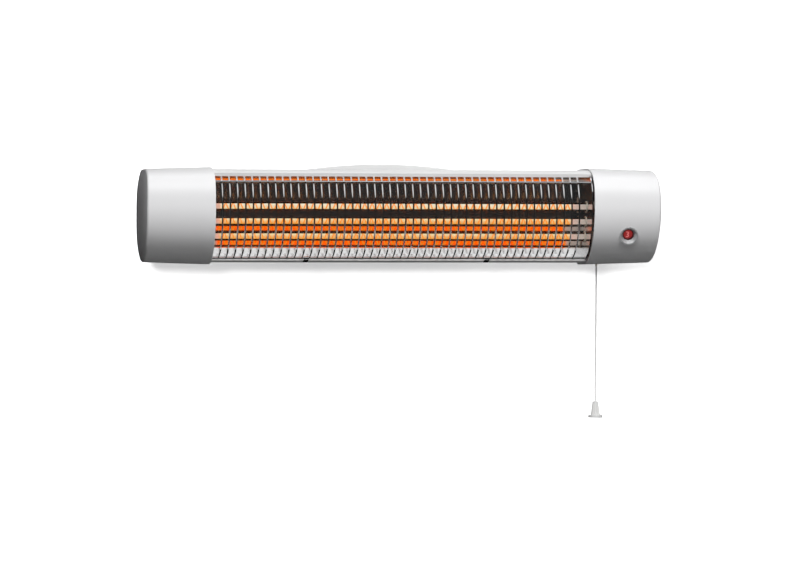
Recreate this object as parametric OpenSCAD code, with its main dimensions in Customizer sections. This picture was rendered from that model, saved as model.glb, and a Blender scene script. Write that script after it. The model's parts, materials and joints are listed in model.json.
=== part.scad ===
// Wall-mounted quartz heater with three tubes, a pull-cord stage switch and a tilting bracket.
// X runs along the heater, +Y points into the wall and +Z is up. The origin lies on the wall
// plane, in the middle of the two wall screws. Sizes are in millimetres.

/* [Body] */
// Length over both end caps
body_length = 626; // [560:1:700]
// Length of an end cap from its rim to the crease at its end
cap_length = 80; // [70:1:90]
// How far the caps' middle lies to the right of the heating unit's middle
cap_shift = 4.5; // [0:0.5:8]
// Radius of the rounded lower front
sweep_radius = 69.5; // [63:0.5:75]
// Height of the roof above the sweep's centre
roof_height = 46.2; // [41:0.2:51]
// Depth from the sweep's centre to the back
back_depth = 51; // [46:0.5:58]
// Radius of the two rear corners
corner_radius = 12; // [9:0.5:16]
// Radius of a cap's rear corners at its closed end, where they are rounder
end_corner_radius = 32; // [16:0.5:36]
// Gap between the wall and the back of the heater
wall_gap = 65; // [60:1:80]
// Height of the sweep's centre above the tilt pivot
section_rise = 12; // [8:0.5:16]

/* [End caps] */
// Wall of the moulded caps
cap_wall = 2; // [1.6:0.1:3]
// How much the section shrinks from the rim to the crease
cap_taper = 2.3; // [1:0.1:3]
// How far the crease bulges outward at mid height
crease_bulge = 1.6; // [0:0.1:4]
// Rounding of the crease
crease_radius = 3; // [1.5:0.1:5]
// Rise of the end face in its middle
dome_rise = 4; // [0.5:0.1:5]
// How far the housing reaches into each cap
cap_overlap = 9.5; // [8.5:0.1:9.5]

/* [Housing] */
// Sheet thickness of the housing
shell_sheet = 1.2; // [0.8:0.1:1.6]
// Air gap between the housing and the inside of a cap
shell_gap = 0.35; // [0.2:0.05:0.6]
// Depth of the folded edges at the mouth of the housing
lip_depth = 3.2; // [2:0.1:4]
// How far the top of the housing reaches in front of the sweep's centre
top_lip_reach = 46; // [42:0.5:50]
// How far the bottom of the housing reaches in front of the sweep's centre
bottom_lip_reach = 15; // [12:0.5:20]

/* [Heating unit] */
// Number of quartz tubes
tube_count = 3; // [3:1:3]
// Outer diameter of a quartz tube
tube_diameter = 10; // [9:0.1:11]
// Wall of a quartz tube
tube_wall = 1; // [0.8:0.1:1.2]
// Height step from one tube to the next
tube_step_z = 17.8; // [16.8:0.1:18.5]
// Backward step from one tube to the next lower one
tube_step_y = 6; // [4:0.5:8]
// Place of the middle tube in front of the sweep's centre
tube_reach = 22; // [18:0.5:26]
// Drop of the middle tube below the sweep's centre
tube_drop = 18.4; // [17:0.1:21]
// Length of each tube's end that holds no coil
cold_end = 18.5; // [12:0.5:40]
// Diameter of the coil, measured at the middle of its wire
coil_diameter = 6; // [4:0.1:6.6]
// Thickness of the coil wire
coil_wire = 0.9; // [0.5:0.1:1.1]
// Turns of one coil
coil_turns = 28; // [12:1:30]
// Thickness of the reflector sheet
reflector_sheet = 0.6; // [0.4:0.1:1]
// How far an end plate lies beyond its cap's rim, before the caps are shifted
plate_setback = 2.1; // [1.5:0.1:4]
// Thickness of an end plate
plate_sheet = 1.2; // [0.8:0.1:2]

/* [Guard grille] */
// Number of guard wires
wire_count = 48; // [24:1:60]
// Distance of the first and the last guard wire from the end plates
wire_margin = 15.2; // [6:0.2:30]
// Diameter of a guard wire
wire_diameter = 2; // [1.5:0.1:2.5]
// Diameter of the two cross rods
rod_diameter = 2.4; // [2:0.1:3]
// How far the guard wires lie inside the cap's outline
wire_inset = 5.5; // [5:0.1:7]

/* [Wall bracket] */
// Diameter of the plate before its top and bottom are cut
plate_diameter = 256; // [230:2:280]
// Height of the plate at its middle
plate_height = 110; // [100:0.5:114]
// Height of the plate's middle above its wall screws
plate_rise = 10.2; // [0:0.1:14]
// Radius of the arched top and bottom
plate_arch = 642; // [500:1:800]
// Depth of the plate's rim
plate_depth = 9; // [7:0.5:12]
// Sheet thickness of the bracket
bracket_sheet = 2.5; // [2:0.1:3]
// Distance between the two wall screws
screw_spacing = 160; // [120:1:180]
// Diameter of a wall screw hole
screw_hole = 5.5; // [4.5:0.1:6.5]
// Distance of the tilt pivot from the wall
pivot_reach = 45; // [42:0.5:48]
// Diameter of the pivot screws
pivot_diameter = 6; // [5:0.1:8]
// Distance between the inner faces of the bracket's ears
ear_spacing = 140; // [120:1:150]

/* [Switch and cord] */
// Downward lean of the stage window
window_lean = 22; // [16:1:26]
// Diameter of the window's bezel
bezel_diameter = 22.4; // [21:0.2:24]
// Diameter of the red lens
lens_diameter = 13.3; // [11:0.1:14]
// Distance of the window from the right cap's rim
window_reach = 43.4; // [38:0.2:48]
// Depth of the window's rim plane in front of the sweep's centre
window_depth = 59.8; // [57:0.1:61]
// Drop of the window's middle below the sweep's centre
window_drop = 36; // [32:0.5:38]
// Diameter of the numbered dial
dial_diameter = 31; // [28:0.5:33]
// Distance of the cord from the right cap's rim
cord_reach = 14.8; // [14.6:0.1:17]
// Distance of the cord behind the front of the flat underside
cord_setback = -2; // [-6:0.5:4]
// Diameter of the pull cord
cord_diameter = 1.8; // [1.4:0.1:2.4]
// Travel of the pull cord
pull_travel = 12; // [8:0.5:14]
// Height of the cord's knob
knob_height = 19.6; // [16:0.1:24]
// Diameter of the knob's flange
knob_diameter = 17; // [14:0.5:20]
// Bore of the mains cable grommet
cable_bore = 8; // [6:0.5:9]

/* [Hidden] */

// Steps of the curves
corner_steps = 4;
back_steps = 4;
roof_steps = 12;
sweep_steps = 12;
rounding_steps = 3;
roof_power = 3;
fine = 48;
// Overrun of cuts and the two usual clearances
cut = 1;
fit = 0.1;
running = 0.05;
// Thickness of flat joints between pieces that only touch
seat = 0.02;
// Gap between an end plate's edge and the housing around it
plate_gap = 0.3;

// Places of the section
centre_y = -(wall_gap + back_depth);
centre_z = section_rise;
back_y = -wall_gap;
top_z = centre_z + roof_height;
bottom_z = centre_z - sweep_radius;
mid_z = (top_z + bottom_z) / 2;
half_height = (top_z - bottom_z) / 2;
half_depth = (sweep_radius + back_depth) / 2;
mid_y = back_y - half_depth;

// Places along the heater
rim_x = body_length / 2 - cap_length - crease_bulge - dome_rise;
left_rim = cap_shift - rim_x;
right_rim = cap_shift + rim_x;
shell_left = left_rim - cap_overlap;
shell_right = right_rim + cap_overlap;
shell_inset = cap_wall + shell_gap;
shell_inside = shell_inset + shell_sheet;
plate_inset = shell_inside + plate_gap;
plate_face = rim_x + plate_setback;
unit_length = 2 * plate_face;

// Arc of points about a centre, from one angle to another
function arc(c, r, a0, a1, n) =
    [for (i = [0:n]) let (a = a0 + (a1 - a0) * i / n) c + r * [cos(a), sin(a)]];

// Outline of the heater's section in the YZ plane, drawn in by an inset
function roof_point(i, t) =
    [centre_y - (sweep_radius - i) * pow(sin(t), 2 / roof_power),
     centre_z + (roof_height - i) * pow(cos(t), 2 / roof_power)];
// and with its own radius of the rear corners and number of steps up the straight back
function section(i, r = corner_radius, n = 1) = concat(
    arc([back_y - r, bottom_z + r], r - i, -90, 0, corner_steps),
    [for (k = [1:1:n - 1]) [back_y - i, bottom_z + r + (top_z - bottom_z - 2 * r) * k / n]],
    arc([back_y - r, top_z - r], r - i, 0, 90, corner_steps),
    [for (k = [0:roof_steps - 1]) roof_point(i, 90 * k / roof_steps)],
    arc([centre_y, centre_z], sweep_radius - i, 180, 270, sweep_steps));

// Points of an open strip with an even thickness, from its middle line
function side(p, q) = let (d = q - p) [-d[1], d[0]] / norm(d);
function bend(pts, i) = let (n = len(pts) - 1,
    a = side(pts[max(i - 1, 0)], pts[max(i, 1)]), b = side(pts[min(i, n - 1)], pts[min(i + 1, n)]))
    (a + b) / (1 + a * b);
function strip(pts, t) = concat(
    [for (i = [0:len(pts) - 1]) pts[i] + bend(pts, i) * t / 2],
    [for (i = [len(pts) - 1:-1:0]) pts[i] - bend(pts, i) * t / 2]);

// Tube swept along points, with a given sideways direction at each point
function unit(v) = v / norm(v);
function tangent(pts, i) = unit(pts[min(i + 1, len(pts) - 1)] - pts[max(i - 1, 0)]);
function ring(pts, ups, r, sides, i) = let (t = tangent(pts, i), a = unit(ups[i] - (ups[i] * t) * t),
    b = cross(t, a)) [for (k = [0:sides - 1]) pts[i] + r * (cos(360 * k / sides) * a + sin(360 * k / sides) * b)];
module swept_tube(pts, ups, r, sides) {
    n = len(pts);
    polyhedron(
        points = [for (i = [0:n - 1]) each ring(pts, ups, r, sides, i)],
        faces = concat(
            [for (k = [1:sides - 2]) [0, k, k + 1]],
            [for (k = [1:sides - 2]) [(n - 1) * sides, (n - 1) * sides + k + 1, (n - 1) * sides + k]],
            [for (i = [0:n - 2]) for (k = [0:sides - 1]) [i * sides + k, (i + 1) * sides + k,
                (i + 1) * sides + (k + 1) % sides]],
            [for (i = [0:n - 2]) for (k = [0:sides - 1]) [i * sides + k, (i + 1) * sides + (k + 1) % sides,
                i * sides + (k + 1) % sides]]),
        convexity = 10);
}

// A shape of the YZ plane carried along X
module along_x(x0, x1) {
    translate([x0, 0, 0]) rotate([90, 0, 90]) linear_extrude(x1 - x0) children();
}
// A cylinder along X between two places
module bar_x(x0, x1, y, z, r) {
    translate([x0, y, z]) rotate([0, 90, 0]) cylinder(h = x1 - x0, r = r, $fn = fine);
}
// A cylinder along Y between two places
module bar_y(y0, y1, x, z, r) {
    translate([x, y0, z]) rotate([-90, 0, 0]) cylinder(h = y1 - y0, r = r, $fn = fine);
}
// A cylinder along Z between two places
module bar_z(z0, z1, x, y, r) {
    translate([x, y, z0]) cylinder(h = z1 - z0, r = r, $fn = fine);
}
// A block between two corners
module block(a, b) {
    translate(a) cube(b - a);
}
// Both sides of the heating unit
module both_sides() {
    children();
    mirror([1, 0, 0]) children();
}

// Wall bracket
ear_thickness = bracket_sheet;
ear_radius = 9;
ear_root = 26;
boss_radius = 7;
pivot_y = -pivot_reach;
pivot_z = 0;
pivot_radius = pivot_diameter / 2;
ear_in = ear_spacing / 2;
ear_out = ear_in + ear_thickness;
module plate_outline(shrink) {
    arch = plate_arch - plate_height / 2;
    intersection() {
        circle(r = plate_diameter / 2 - shrink, $fn = 2 * fine);
        translate([0, -arch]) circle(r = plate_arch - shrink, $fn = 4 * fine);
        translate([0, arch]) circle(r = plate_arch - shrink, $fn = 4 * fine);
    }
}
module ear_outline() {
    difference() {
        union() {
            translate([pivot_y, pivot_z]) circle(r = ear_radius, $fn = fine);
            polygon([[-plate_depth + bracket_sheet, pivot_z + ear_root], [pivot_y, pivot_z + ear_radius],
                [pivot_y, pivot_z - ear_radius], [-plate_depth + bracket_sheet, pivot_z - ear_root]]);
        }
        translate([pivot_y, pivot_z]) circle(r = pivot_radius + fit, $fn = fine);
    }
}
module wall_bracket() {
    color("gainsboro") difference() {
        union() {
            difference() {
                translate([0, 0, plate_rise]) rotate([90, 0, 0]) linear_extrude(plate_depth) plate_outline(0);
                translate([0, cut, plate_rise]) rotate([90, 0, 0])
                    linear_extrude(plate_depth - bracket_sheet + cut) plate_outline(bracket_sheet);
            }
            both_sides() bar_y(-plate_depth, 0, screw_spacing / 2, 0, boss_radius);
            both_sides() along_x(ear_in, ear_out) ear_outline();
        }
        both_sides() bar_y(-plate_depth - cut, cut, screw_spacing / 2, 0, screw_hole / 2);
    }
}

// Tilt pivot
washer_thickness = 1.4;
washer_radius = 8;
lug_sheet = 3;
lug_in = ear_out + washer_thickness + 2 * running;
lug_out = lug_in + lug_sheet;
grip_length = 9;
grip_radius = 8;
grip_flutes = 12;
flute_radius = 1.2;
nut_height = 5;
nut_across = 10;
thread_end = 1.5;
module pivot_screws() {
    color("dimgray") both_sides() {
        bar_x(ear_in - nut_height - thread_end, lug_out + fit + grip_length / 2, pivot_y, pivot_z, pivot_radius);
        difference() {
            bar_x(lug_out + fit, lug_out + fit + grip_length, pivot_y, pivot_z, grip_radius);
            for (k = [0:grip_flutes - 1]) {
                a = 360 * k / grip_flutes;
                bar_x(lug_out, lug_out + grip_length + cut, pivot_y + grip_radius * cos(a),
                    pivot_z + grip_radius * sin(a), flute_radius);
            }
        }
    }
}
module pivot_nuts() {
    color("silver") both_sides() difference() {
        translate([ear_in - nut_height - seat, pivot_y, pivot_z]) rotate([0, 90, 0])
            cylinder(h = nut_height, r = nut_across / sqrt(3), $fn = 6);
        bar_x(ear_in - nut_height - cut, ear_in, pivot_y, pivot_z, pivot_radius + seat);
    }
}
module friction_washers() {
    color("black") both_sides() difference() {
        bar_x(ear_out + seat, ear_out + seat + washer_thickness, pivot_y, pivot_z, washer_radius);
        bar_x(ear_out - cut, lug_in, pivot_y, pivot_z, pivot_radius + fit);
    }
}

// Housing and its lugs
cap_screw_radius = 1.5;
cap_screw_head = 3;
cap_screw_reach = cap_overlap / 2;
cap_screw_z = 35;
plate_screw_radius = 1.5;
plate_screw_head = 2.8;
plate_screw_z = 25;
plate_screw_setback = 15.5;
head_height = 2;
lug_plate = 2.5;
lug_width = 24;
lug_half = 20;
lug_screw_radius = 2;
lug_screw_head = 3.8;
lug_screw_z = 13;
shell_back = back_y - shell_inset;
shell_inner_back = back_y - shell_inside;
lug_screw_x = lug_in + lug_width - 2 * lug_screw_head;
// Middle line of the housing's sheet, from the fold below its mouth round to the fold above it
shell_middle = shell_inset + shell_sheet / 2;
shell_sweep = sweep_radius - shell_middle;
bottom_lip_angle = asin(bottom_lip_reach / shell_sweep);
top_lip_angle = asin(pow(top_lip_reach / shell_sweep, roof_power / 2));
top_fold_angle = -76;
bottom_fold_angle = 84;
lip_steps = 2;
shell_roof_steps = 6;
function heading(a) = [cos(a), sin(a)];
shell_curve = concat(
    arc([centre_y, centre_z], shell_sweep, 270 - bottom_lip_angle, 270, lip_steps),
    arc([back_y - corner_radius, bottom_z + corner_radius], corner_radius - shell_middle, -90, 0, corner_steps),
    arc([back_y - corner_radius, top_z - corner_radius], corner_radius - shell_middle, 0, 90, corner_steps),
    [for (k = [0:shell_roof_steps]) roof_point(shell_middle, top_lip_angle * k / shell_roof_steps)]);
shell_line = concat([shell_curve[0] + lip_depth * heading(bottom_fold_angle)], shell_curve,
    [shell_curve[len(shell_curve) - 1] + lip_depth * heading(top_fold_angle)]);
module shell_outline() {
    polygon(strip(shell_line, shell_sheet));
}
module shell_screw_holes() {
    for (x = [left_rim - cap_screw_reach, right_rim + cap_screw_reach], s = [-1, 1])
        bar_y(shell_inner_back - cut, shell_back + cut, x, s * cap_screw_z, cap_screw_radius + fit);
    both_sides() for (s = [-1, 1]) {
        bar_y(shell_inner_back - cut, shell_back + cut, plate_face - plate_screw_setback, s * plate_screw_z,
            plate_screw_radius + fit);
        bar_y(shell_inner_back - cut, shell_back + cut, lug_screw_x, s * lug_screw_z, lug_screw_radius + fit);
    }
}
module housing_shell() {
    color("whitesmoke") difference() {
        along_x(shell_left, shell_right) shell_outline();
        shell_screw_holes();
    }
}
module lug_outline() {
    difference() {
        union() {
            translate([pivot_y, pivot_z]) circle(r = ear_radius, $fn = fine);
            polygon([[pivot_y, pivot_z + ear_radius], [pivot_y, pivot_z - ear_radius],
                [shell_back + seat, -lug_half], [shell_back + seat, lug_half]]);
        }
        translate([pivot_y, pivot_z]) circle(r = pivot_radius + running, $fn = fine);
    }
}
module hinge_lugs() {
    color("gainsboro") both_sides() difference() {
        union() {
            along_x(lug_in, lug_out) lug_outline();
            block([lug_in, shell_back + seat, -lug_half], [lug_in + lug_width, shell_back + lug_plate, lug_half]);
        }
        for (s = [-1, 1])
            bar_y(shell_back - cut, shell_back + lug_plate + cut, lug_screw_x, s * lug_screw_z, lug_screw_radius + fit);
    }
}
lug_screw_length = 8;
module lug_screws() {
    color("silver") both_sides() for (s = [-1, 1]) {
        face = shell_back + lug_plate + seat;
        bar_y(face - lug_screw_length, face, lug_screw_x, s * lug_screw_z, lug_screw_radius);
        bar_y(face, face + head_height, lug_screw_x, s * lug_screw_z, lug_screw_head);
    }
}

// Reflector
// Bends of the sheet from the top down: reach in front of the sweep's centre as a share of the sweep's
// radius, then height as a share of the roof's height above that centre, or of the radius below it
reflector_shares = [[0.625, 0.762], [0.176, 0.762], [0.121, 0.738], [0.096, 0.71], [0.08, 0.667],
    [0.061, 0.578], [0.034, 0.4], [0.019, 0.222], [0.015, 0.133], [0.015, -0.347], [0.032, -0.444],
    [0.032, -0.597], [0.06, -0.707], [0.169, -0.725], [0.197, -0.821], [0.223, -0.873]];
function reflector_point(p) = [centre_y - p[0] * sweep_radius,
    centre_z + p[1] * (p[1] > 0 ? roof_height : sweep_radius)];
module reflector() {
    color("silver") along_x(-plate_face + seat, plate_face - seat)
        polygon(strip([for (p = reflector_shares) reflector_point(p)], reflector_sheet));
}

// Places of the tubes, the upper one first
function tube_y(k) = centre_y - tube_reach - (1 - k) * tube_step_y;
function tube_z(k) = centre_z - tube_drop + (1 - k) * tube_step_z;
tube_radius = tube_diameter / 2;
holder_radius = 7;
holder_flange = 8.4;
flange_thickness = 3;
holder_nose = 0.6;
holder_tail = 11.5;
pin_radius = 1.5;
pin_length = 12.5;
tube_seat = 2.7;
tube_end = plate_face + tube_seat;
module quartz_tube(k) {
    color("ivory", 0.4) difference() {
        bar_x(-tube_end, tube_end, tube_y(k), tube_z(k), tube_radius);
        bar_x(-tube_end - cut, tube_end + cut, tube_y(k), tube_z(k), tube_radius - tube_wall);
    }
}
module upper_quartz_tube() { quartz_tube(0); }
module middle_quartz_tube() { quartz_tube(1); }
module lower_quartz_tube() { quartz_tube(2); }

// Heating coils: one wire wound about the tube's axis, with straight ends
rings_per_turn = 8;
coil_sides = 6;
turn_rings = coil_turns * rings_per_turn;
lead_in_rings = rings_per_turn / 2;
coil_length = unit_length - 2 * cold_end;
coil_radius = coil_diameter / 2;
coil_pitch = coil_length / coil_turns;
coil_ends = tube_end + fit;
function coil_blend(i) = min(1, i / lead_in_rings, (turn_rings - i) / lead_in_rings);
function coil_out(i) = let (a = 360 * i / rings_per_turn) [0, cos(a), sin(a)];
function coil_points(k) = let (c = [0, tube_y(k), tube_z(k)]) concat(
    [c - [coil_ends, 0, 0], c - [coil_length / 2 + coil_wire, 0, 0]],
    [for (i = [0:turn_rings]) c + [coil_length * (i / turn_rings - 1 / 2), 0, 0]
        + coil_blend(i) * coil_radius * coil_out(i)],
    [c + [coil_length / 2 + coil_wire, 0, 0], c + [coil_ends, 0, 0]]);
coil_ups = concat([coil_out(0), coil_out(0)], [for (i = [0:turn_rings]) coil_out(i)],
    [coil_out(turn_rings), coil_out(turn_rings)]);
module heating_coil(k) {
    color("orangered") swept_tube(coil_points(k), coil_ups, coil_wire / 2, coil_sides);
}
module upper_heating_coil() { heating_coil(0); }
module middle_heating_coil() { heating_coil(1); }
module lower_heating_coil() { heating_coil(2); }
// Least gap of a coil to itself, one turn against the next
function least_gap(pts, skip) = min([for (i = [0:rings_per_turn]) for (j = [skip:2 * rings_per_turn])
    norm(pts[i + rings_per_turn + j] - pts[i + rings_per_turn])]) - coil_wire;
echo(coil_gap = least_gap(coil_points(0), lead_in_rings));

// Ceramic holders and terminal pins
module ceramic_holders() {
    for (k = [0:tube_count - 1]) difference() {
        union() {
            bar_x(plate_face - holder_nose, plate_face + holder_tail, tube_y(k), tube_z(k), holder_radius);
            bar_x(plate_face + plate_sheet + seat, plate_face + plate_sheet + flange_thickness, tube_y(k), tube_z(k),
                holder_flange);
        }
        bar_x(plate_face - holder_nose - cut, tube_end + fit, tube_y(k), tube_z(k), tube_radius + fit);
        bar_x(plate_face, plate_face + holder_tail + cut, tube_y(k), tube_z(k), pin_radius + seat);
    }
}
module left_ceramic_holders() { color("seashell") mirror([1, 0, 0]) ceramic_holders(); }
module right_ceramic_holders() { color("seashell") ceramic_holders(); }
module tube_terminals() {
    color("gold") both_sides() for (k = [0:tube_count - 1])
        bar_x(coil_ends + seat, coil_ends + seat + pin_length, tube_y(k), tube_z(k), pin_radius);
}

// End plates
tab_length = 22;
tab_half = 32;
lead_radius = 1.1;
lead_hole = 2;
lead_setback = 22;
lead_y = back_y - lead_setback;
lead_z = 34;
bracket_screw_radius = 1.5;
module end_plate() {
    difference() {
        union() {
            along_x(plate_face, plate_face + plate_sheet) polygon(section(plate_inset));
            block([plate_face - tab_length, shell_inner_back - plate_sheet - fit, -tab_half],
                [plate_face + plate_sheet, shell_inner_back - fit, tab_half]);
        }
        for (k = [0:tube_count - 1])
            bar_x(plate_face - cut, plate_face + plate_sheet + cut, tube_y(k), tube_z(k), holder_radius + fit);
        for (p = [upper_rod, lower_rod])
            bar_x(plate_face - cut, plate_face + plate_sheet + cut, p[0], p[1], rod_radius + seat);
        bar_x(plate_face - cut, plate_face + plate_sheet + cut, lead_y, lead_z, lead_hole);
        for (s = [-1, 1])
            bar_y(shell_inner_back - plate_sheet - cut, shell_inner_back + cut, plate_face - plate_screw_setback,
                s * plate_screw_z, plate_screw_radius + fit);
    }
}
module left_end_plate() { color("silver") mirror([1, 0, 0]) end_plate(); }
module right_end_plate() {
    color("silver") difference() {
        end_plate();
        for (z = bracket_screw_places)
            bar_x(plate_face - cut, plate_face + plate_sheet + cut, bracket_screw_y, z, bracket_screw_radius + fit);
    }
}
plate_screw_length = 6;
module end_plate_screws() {
    color("silver") both_sides() for (s = [-1, 1]) {
        bar_y(shell_back - plate_screw_length, shell_back + seat, plate_face - plate_screw_setback, s * plate_screw_z,
            plate_screw_radius);
        bar_y(shell_back + seat, shell_back + head_height, plate_face - plate_screw_setback, s * plate_screw_z,
            plate_screw_head);
    }
}

// Guard grille: each wire is one arc inside the outline, and the rods lie on its outer side
wire_radius = wire_diameter / 2;
rod_radius = rod_diameter / 2;
weld = 0.25;
arc_reach = 7.6;
arc_drop = 5.6;
arc_radius = sweep_radius - wire_inset - arc_reach;
arc_centre = [centre_y - arc_reach, centre_z - arc_drop];
arc_above = 45;
arc_below = 79;
upper_rod_angle = 35;
lower_rod_angle = 76.5;
rod_offset = wire_radius + rod_radius - weld;
upper_rod = arc_centre + (arc_radius + rod_offset) * [-cos(upper_rod_angle), sin(upper_rod_angle)];
lower_rod = arc_centre + (arc_radius + rod_offset) * [-cos(lower_rod_angle), -sin(lower_rod_angle)];
wire_sides = 16;
wire_span = unit_length - 2 * wire_margin;
wire_pitch = wire_span / (wire_count - 1);
module grille_wires() {
    color("silver") for (i = [0:wire_count - 1])
        translate([i * wire_pitch - wire_span / 2, arc_centre[0], arc_centre[1]])
            rotate([90, 0, 90]) rotate([0, 0, 180 - arc_above])
                rotate_extrude(angle = arc_above + arc_below, $fn = fine) translate([arc_radius, 0])
                    circle(r = wire_radius, $fn = wire_sides);
}
module grille_rods() {
    color("silver") for (p = [upper_rod, lower_rod])
        bar_x(-plate_face - plate_sheet, plate_face + plate_sheet, p[0], p[1], rod_radius);
}
// Wire gaps between the heater's middle and each clip, which sits in the middle of a gap
clip_gap_count = 12;
clip_place = (clip_gap_count + wire_count % 2 / 2) * wire_pitch;
clip_width = 6;
clip_sheet = 0.8;
clip_start = 71;
clip_end = 82;
clip_gap = 0.15;
module grille_clips() {
    reach = rod_radius + seat;
    hook = sweep_radius - shell_inset + clip_gap;
    centre = [centre_y, centre_z];
    color("silver") both_sides() along_x(clip_place - clip_width / 2, clip_place + clip_width / 2) difference() {
        union() {
            translate(lower_rod) circle(r = reach + clip_sheet, $fn = fine);
            polygon(concat(arc(centre, hook + clip_sheet, 180 + clip_start, 180 + clip_end, rounding_steps),
                reversed(arc(centre, hook, 180 + clip_start, 180 + clip_end, rounding_steps))));
        }
        translate(lower_rod) circle(r = reach, $fn = fine);
    }
}

// End caps
rim_round = 0.9;
inner_round = 2;
body_shares = [0.25, 0.5, 0.75];
end_shares = [0.95, 0.85, 0.65, 0.35];
inner_end_shares = [0.8, 0.5];
corner_power = 4;
dome_power = 4;
function rounding(k) = 90 * k / rounding_steps;
inner_length = cap_length - cap_wall - inner_round;
function taper_at(d) = cap_taper * d / cap_length;
function dome_at(s) = dome_rise * (1 - pow(s, dome_power));
// Rings as distance from the rim, inset and share of the size about the middle
function reversed(v) = [for (i = [len(v) - 1:-1:0]) v[i]];
cap_outer = concat(
    [for (k = [0:rounding_steps]) let (a = rounding(rounding_steps - k))
        [rim_round * (1 - sin(a)), rim_round * (1 - cos(a)), 1]],
    [for (s = body_shares) [cap_length * s, cap_taper * s, 1]],
    [for (k = [0:rounding_steps]) let (a = rounding(k))
        [cap_length - crease_radius * (1 - sin(a)), cap_taper + crease_radius * (1 - cos(a)), 1]],
    [for (s = end_shares) [cap_length + dome_at(s), cap_taper + crease_radius, s]]);
cap_inner = concat(
    [for (s = concat([0], body_shares)) [inner_length * s, cap_wall + cap_taper * s, 1]],
    [for (k = [0:rounding_steps]) let (a = rounding(k))
        [inner_length + inner_round * sin(a), cap_taper + cap_wall + inner_round * (1 - cos(a)), 1]],
    [for (s = inner_end_shares) [cap_length - cap_wall + dome_at(s), cap_taper + cap_wall + inner_round, s]]);
function bulge_at(z) = crease_bulge * (1 - pow((z - mid_z) / half_height, 2));
function corner_at(d) =
    corner_radius + (end_corner_radius - corner_radius) * pow(min(d / cap_length, 1), corner_power);
function cap_ring(r) = [for (p = section(r[1], corner_at(r[0]), back_steps))
    let (q = [mid_y, mid_z] + r[2] * (p - [mid_y, mid_z]))
    [r[0] + bulge_at(q[1]) * min(r[0] / cap_length, 1), q[0], q[1]]];
module lofted_shell(rings, pole_a, pole_b) {
    m = len(rings);
    n = len(rings[0]);
    last = m * n + 1;
    polyhedron(
        points = concat([pole_a], [for (r = rings) each r], [pole_b]),
        faces = concat(
            [for (j = [0:n - 1]) [0, 1 + j, 1 + (j + 1) % n]],
            [for (i = [0:m - 2]) for (j = [0:n - 1]) [1 + i * n + j, 1 + (i + 1) * n + j, 1 + (i + 1) * n + (j + 1) % n]],
            [for (i = [0:m - 2]) for (j = [0:n - 1]) [1 + i * n + j, 1 + (i + 1) * n + (j + 1) % n,
                1 + i * n + (j + 1) % n]],
            [for (j = [0:n - 1]) [last, 1 + (m - 1) * n + (j + 1) % n, 1 + (m - 1) * n + j]]),
        convexity = 10);
}
module cap_shell() {
    lofted_shell([for (r = concat(reversed(cap_outer), cap_inner)) cap_ring(r)],
        [cap_length + crease_bulge + dome_rise, mid_y, mid_z],
        [cap_length - cap_wall + crease_bulge + dome_rise, mid_y, mid_z]);
}
module cap_screw_bores() {
    for (s = [-1, 1])
        bar_y(back_y - cap_wall - cut, back_y + cut, cap_screw_reach, s * cap_screw_z, cap_screw_radius + fit);
}
module left_end_cap() {
    color("whitesmoke") translate([left_rim, 0, 0]) mirror([1, 0, 0]) difference() {
        cap_shell();
        cap_screw_bores();
    }
}
module right_end_cap() {
    color("whitesmoke") difference() {
        translate([right_rim, 0, 0]) difference() {
            cap_shell();
            cap_screw_bores();
        }
        at_window() bar_y(-bezel_reach, bezel_reach, 0, 0, bezel_radius + seat);
        bar_z(bottom_z - cut, bottom_z + cap_wall + cap_taper + cut, cord_x, cord_y, guide_radius + seat);
        bar_y(back_y - cap_wall - cap_taper - cut, back_y + cut, inlet_x, inlet_z, grommet_neck);
    }
}
cap_screw_length = 8;
module cap_screws() {
    color("silver") for (x = [left_rim - cap_screw_reach, right_rim + cap_screw_reach], s = [-1, 1]) {
        bar_y(back_y - cap_screw_length, back_y + seat, x, s * cap_screw_z, cap_screw_radius);
        bar_y(back_y + seat, back_y + head_height, x, s * cap_screw_z, cap_screw_head);
    }
}

// Stage window, in a frame that leans down with its axis along local Y
window_x = right_rim + window_reach;
window_y = centre_y - window_depth;
window_z = centre_z - window_drop;
bezel_radius = bezel_diameter / 2;
bezel_reach = 24;
bezel_length = 8.5;
bezel_floor = 1.6;
bezel_edge = 1.6;
dish_depth = 4;
lens_seat = 1.2;
lens_radius = lens_diameter / 2;
lens_thickness = 2.2;
module at_window() {
    translate([window_x, window_y, window_z]) rotate([window_lean, 0, 0]) children();
}
module window_bezel() {
    color("silver") at_window() rotate([-90, 0, 0]) rotate_extrude($fn = 2 * fine) polygon([
        [lens_radius + fit, dish_depth], [bezel_radius - bezel_edge, 0], [bezel_radius, 0],
        [bezel_radius, bezel_length], [bezel_radius - bezel_edge, bezel_length],
        [bezel_radius - bezel_edge, dish_depth + lens_thickness + bezel_floor],
        [lens_radius - lens_seat, dish_depth + lens_thickness + bezel_floor],
        [lens_radius - lens_seat, dish_depth + lens_thickness], [lens_radius + fit, dish_depth + lens_thickness]]);
}
lens_dome = 1.2;
lens_steps = 4;
module window_lens() {
    bulge = (pow(lens_radius, 2) + pow(lens_dome, 2)) / (2 * lens_dome);
    spread = asin(lens_radius / bulge);
    front = [0, dish_depth + bulge - lens_dome];
    color("firebrick", 0.6) at_window() rotate([-90, 0, 0]) rotate_extrude($fn = 2 * fine) polygon(concat(
        arc(front, bulge, -90, spread - 90, lens_steps),
        [[lens_radius, dish_depth + lens_thickness - seat], [0, dish_depth + lens_thickness - seat]]));
}

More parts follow.
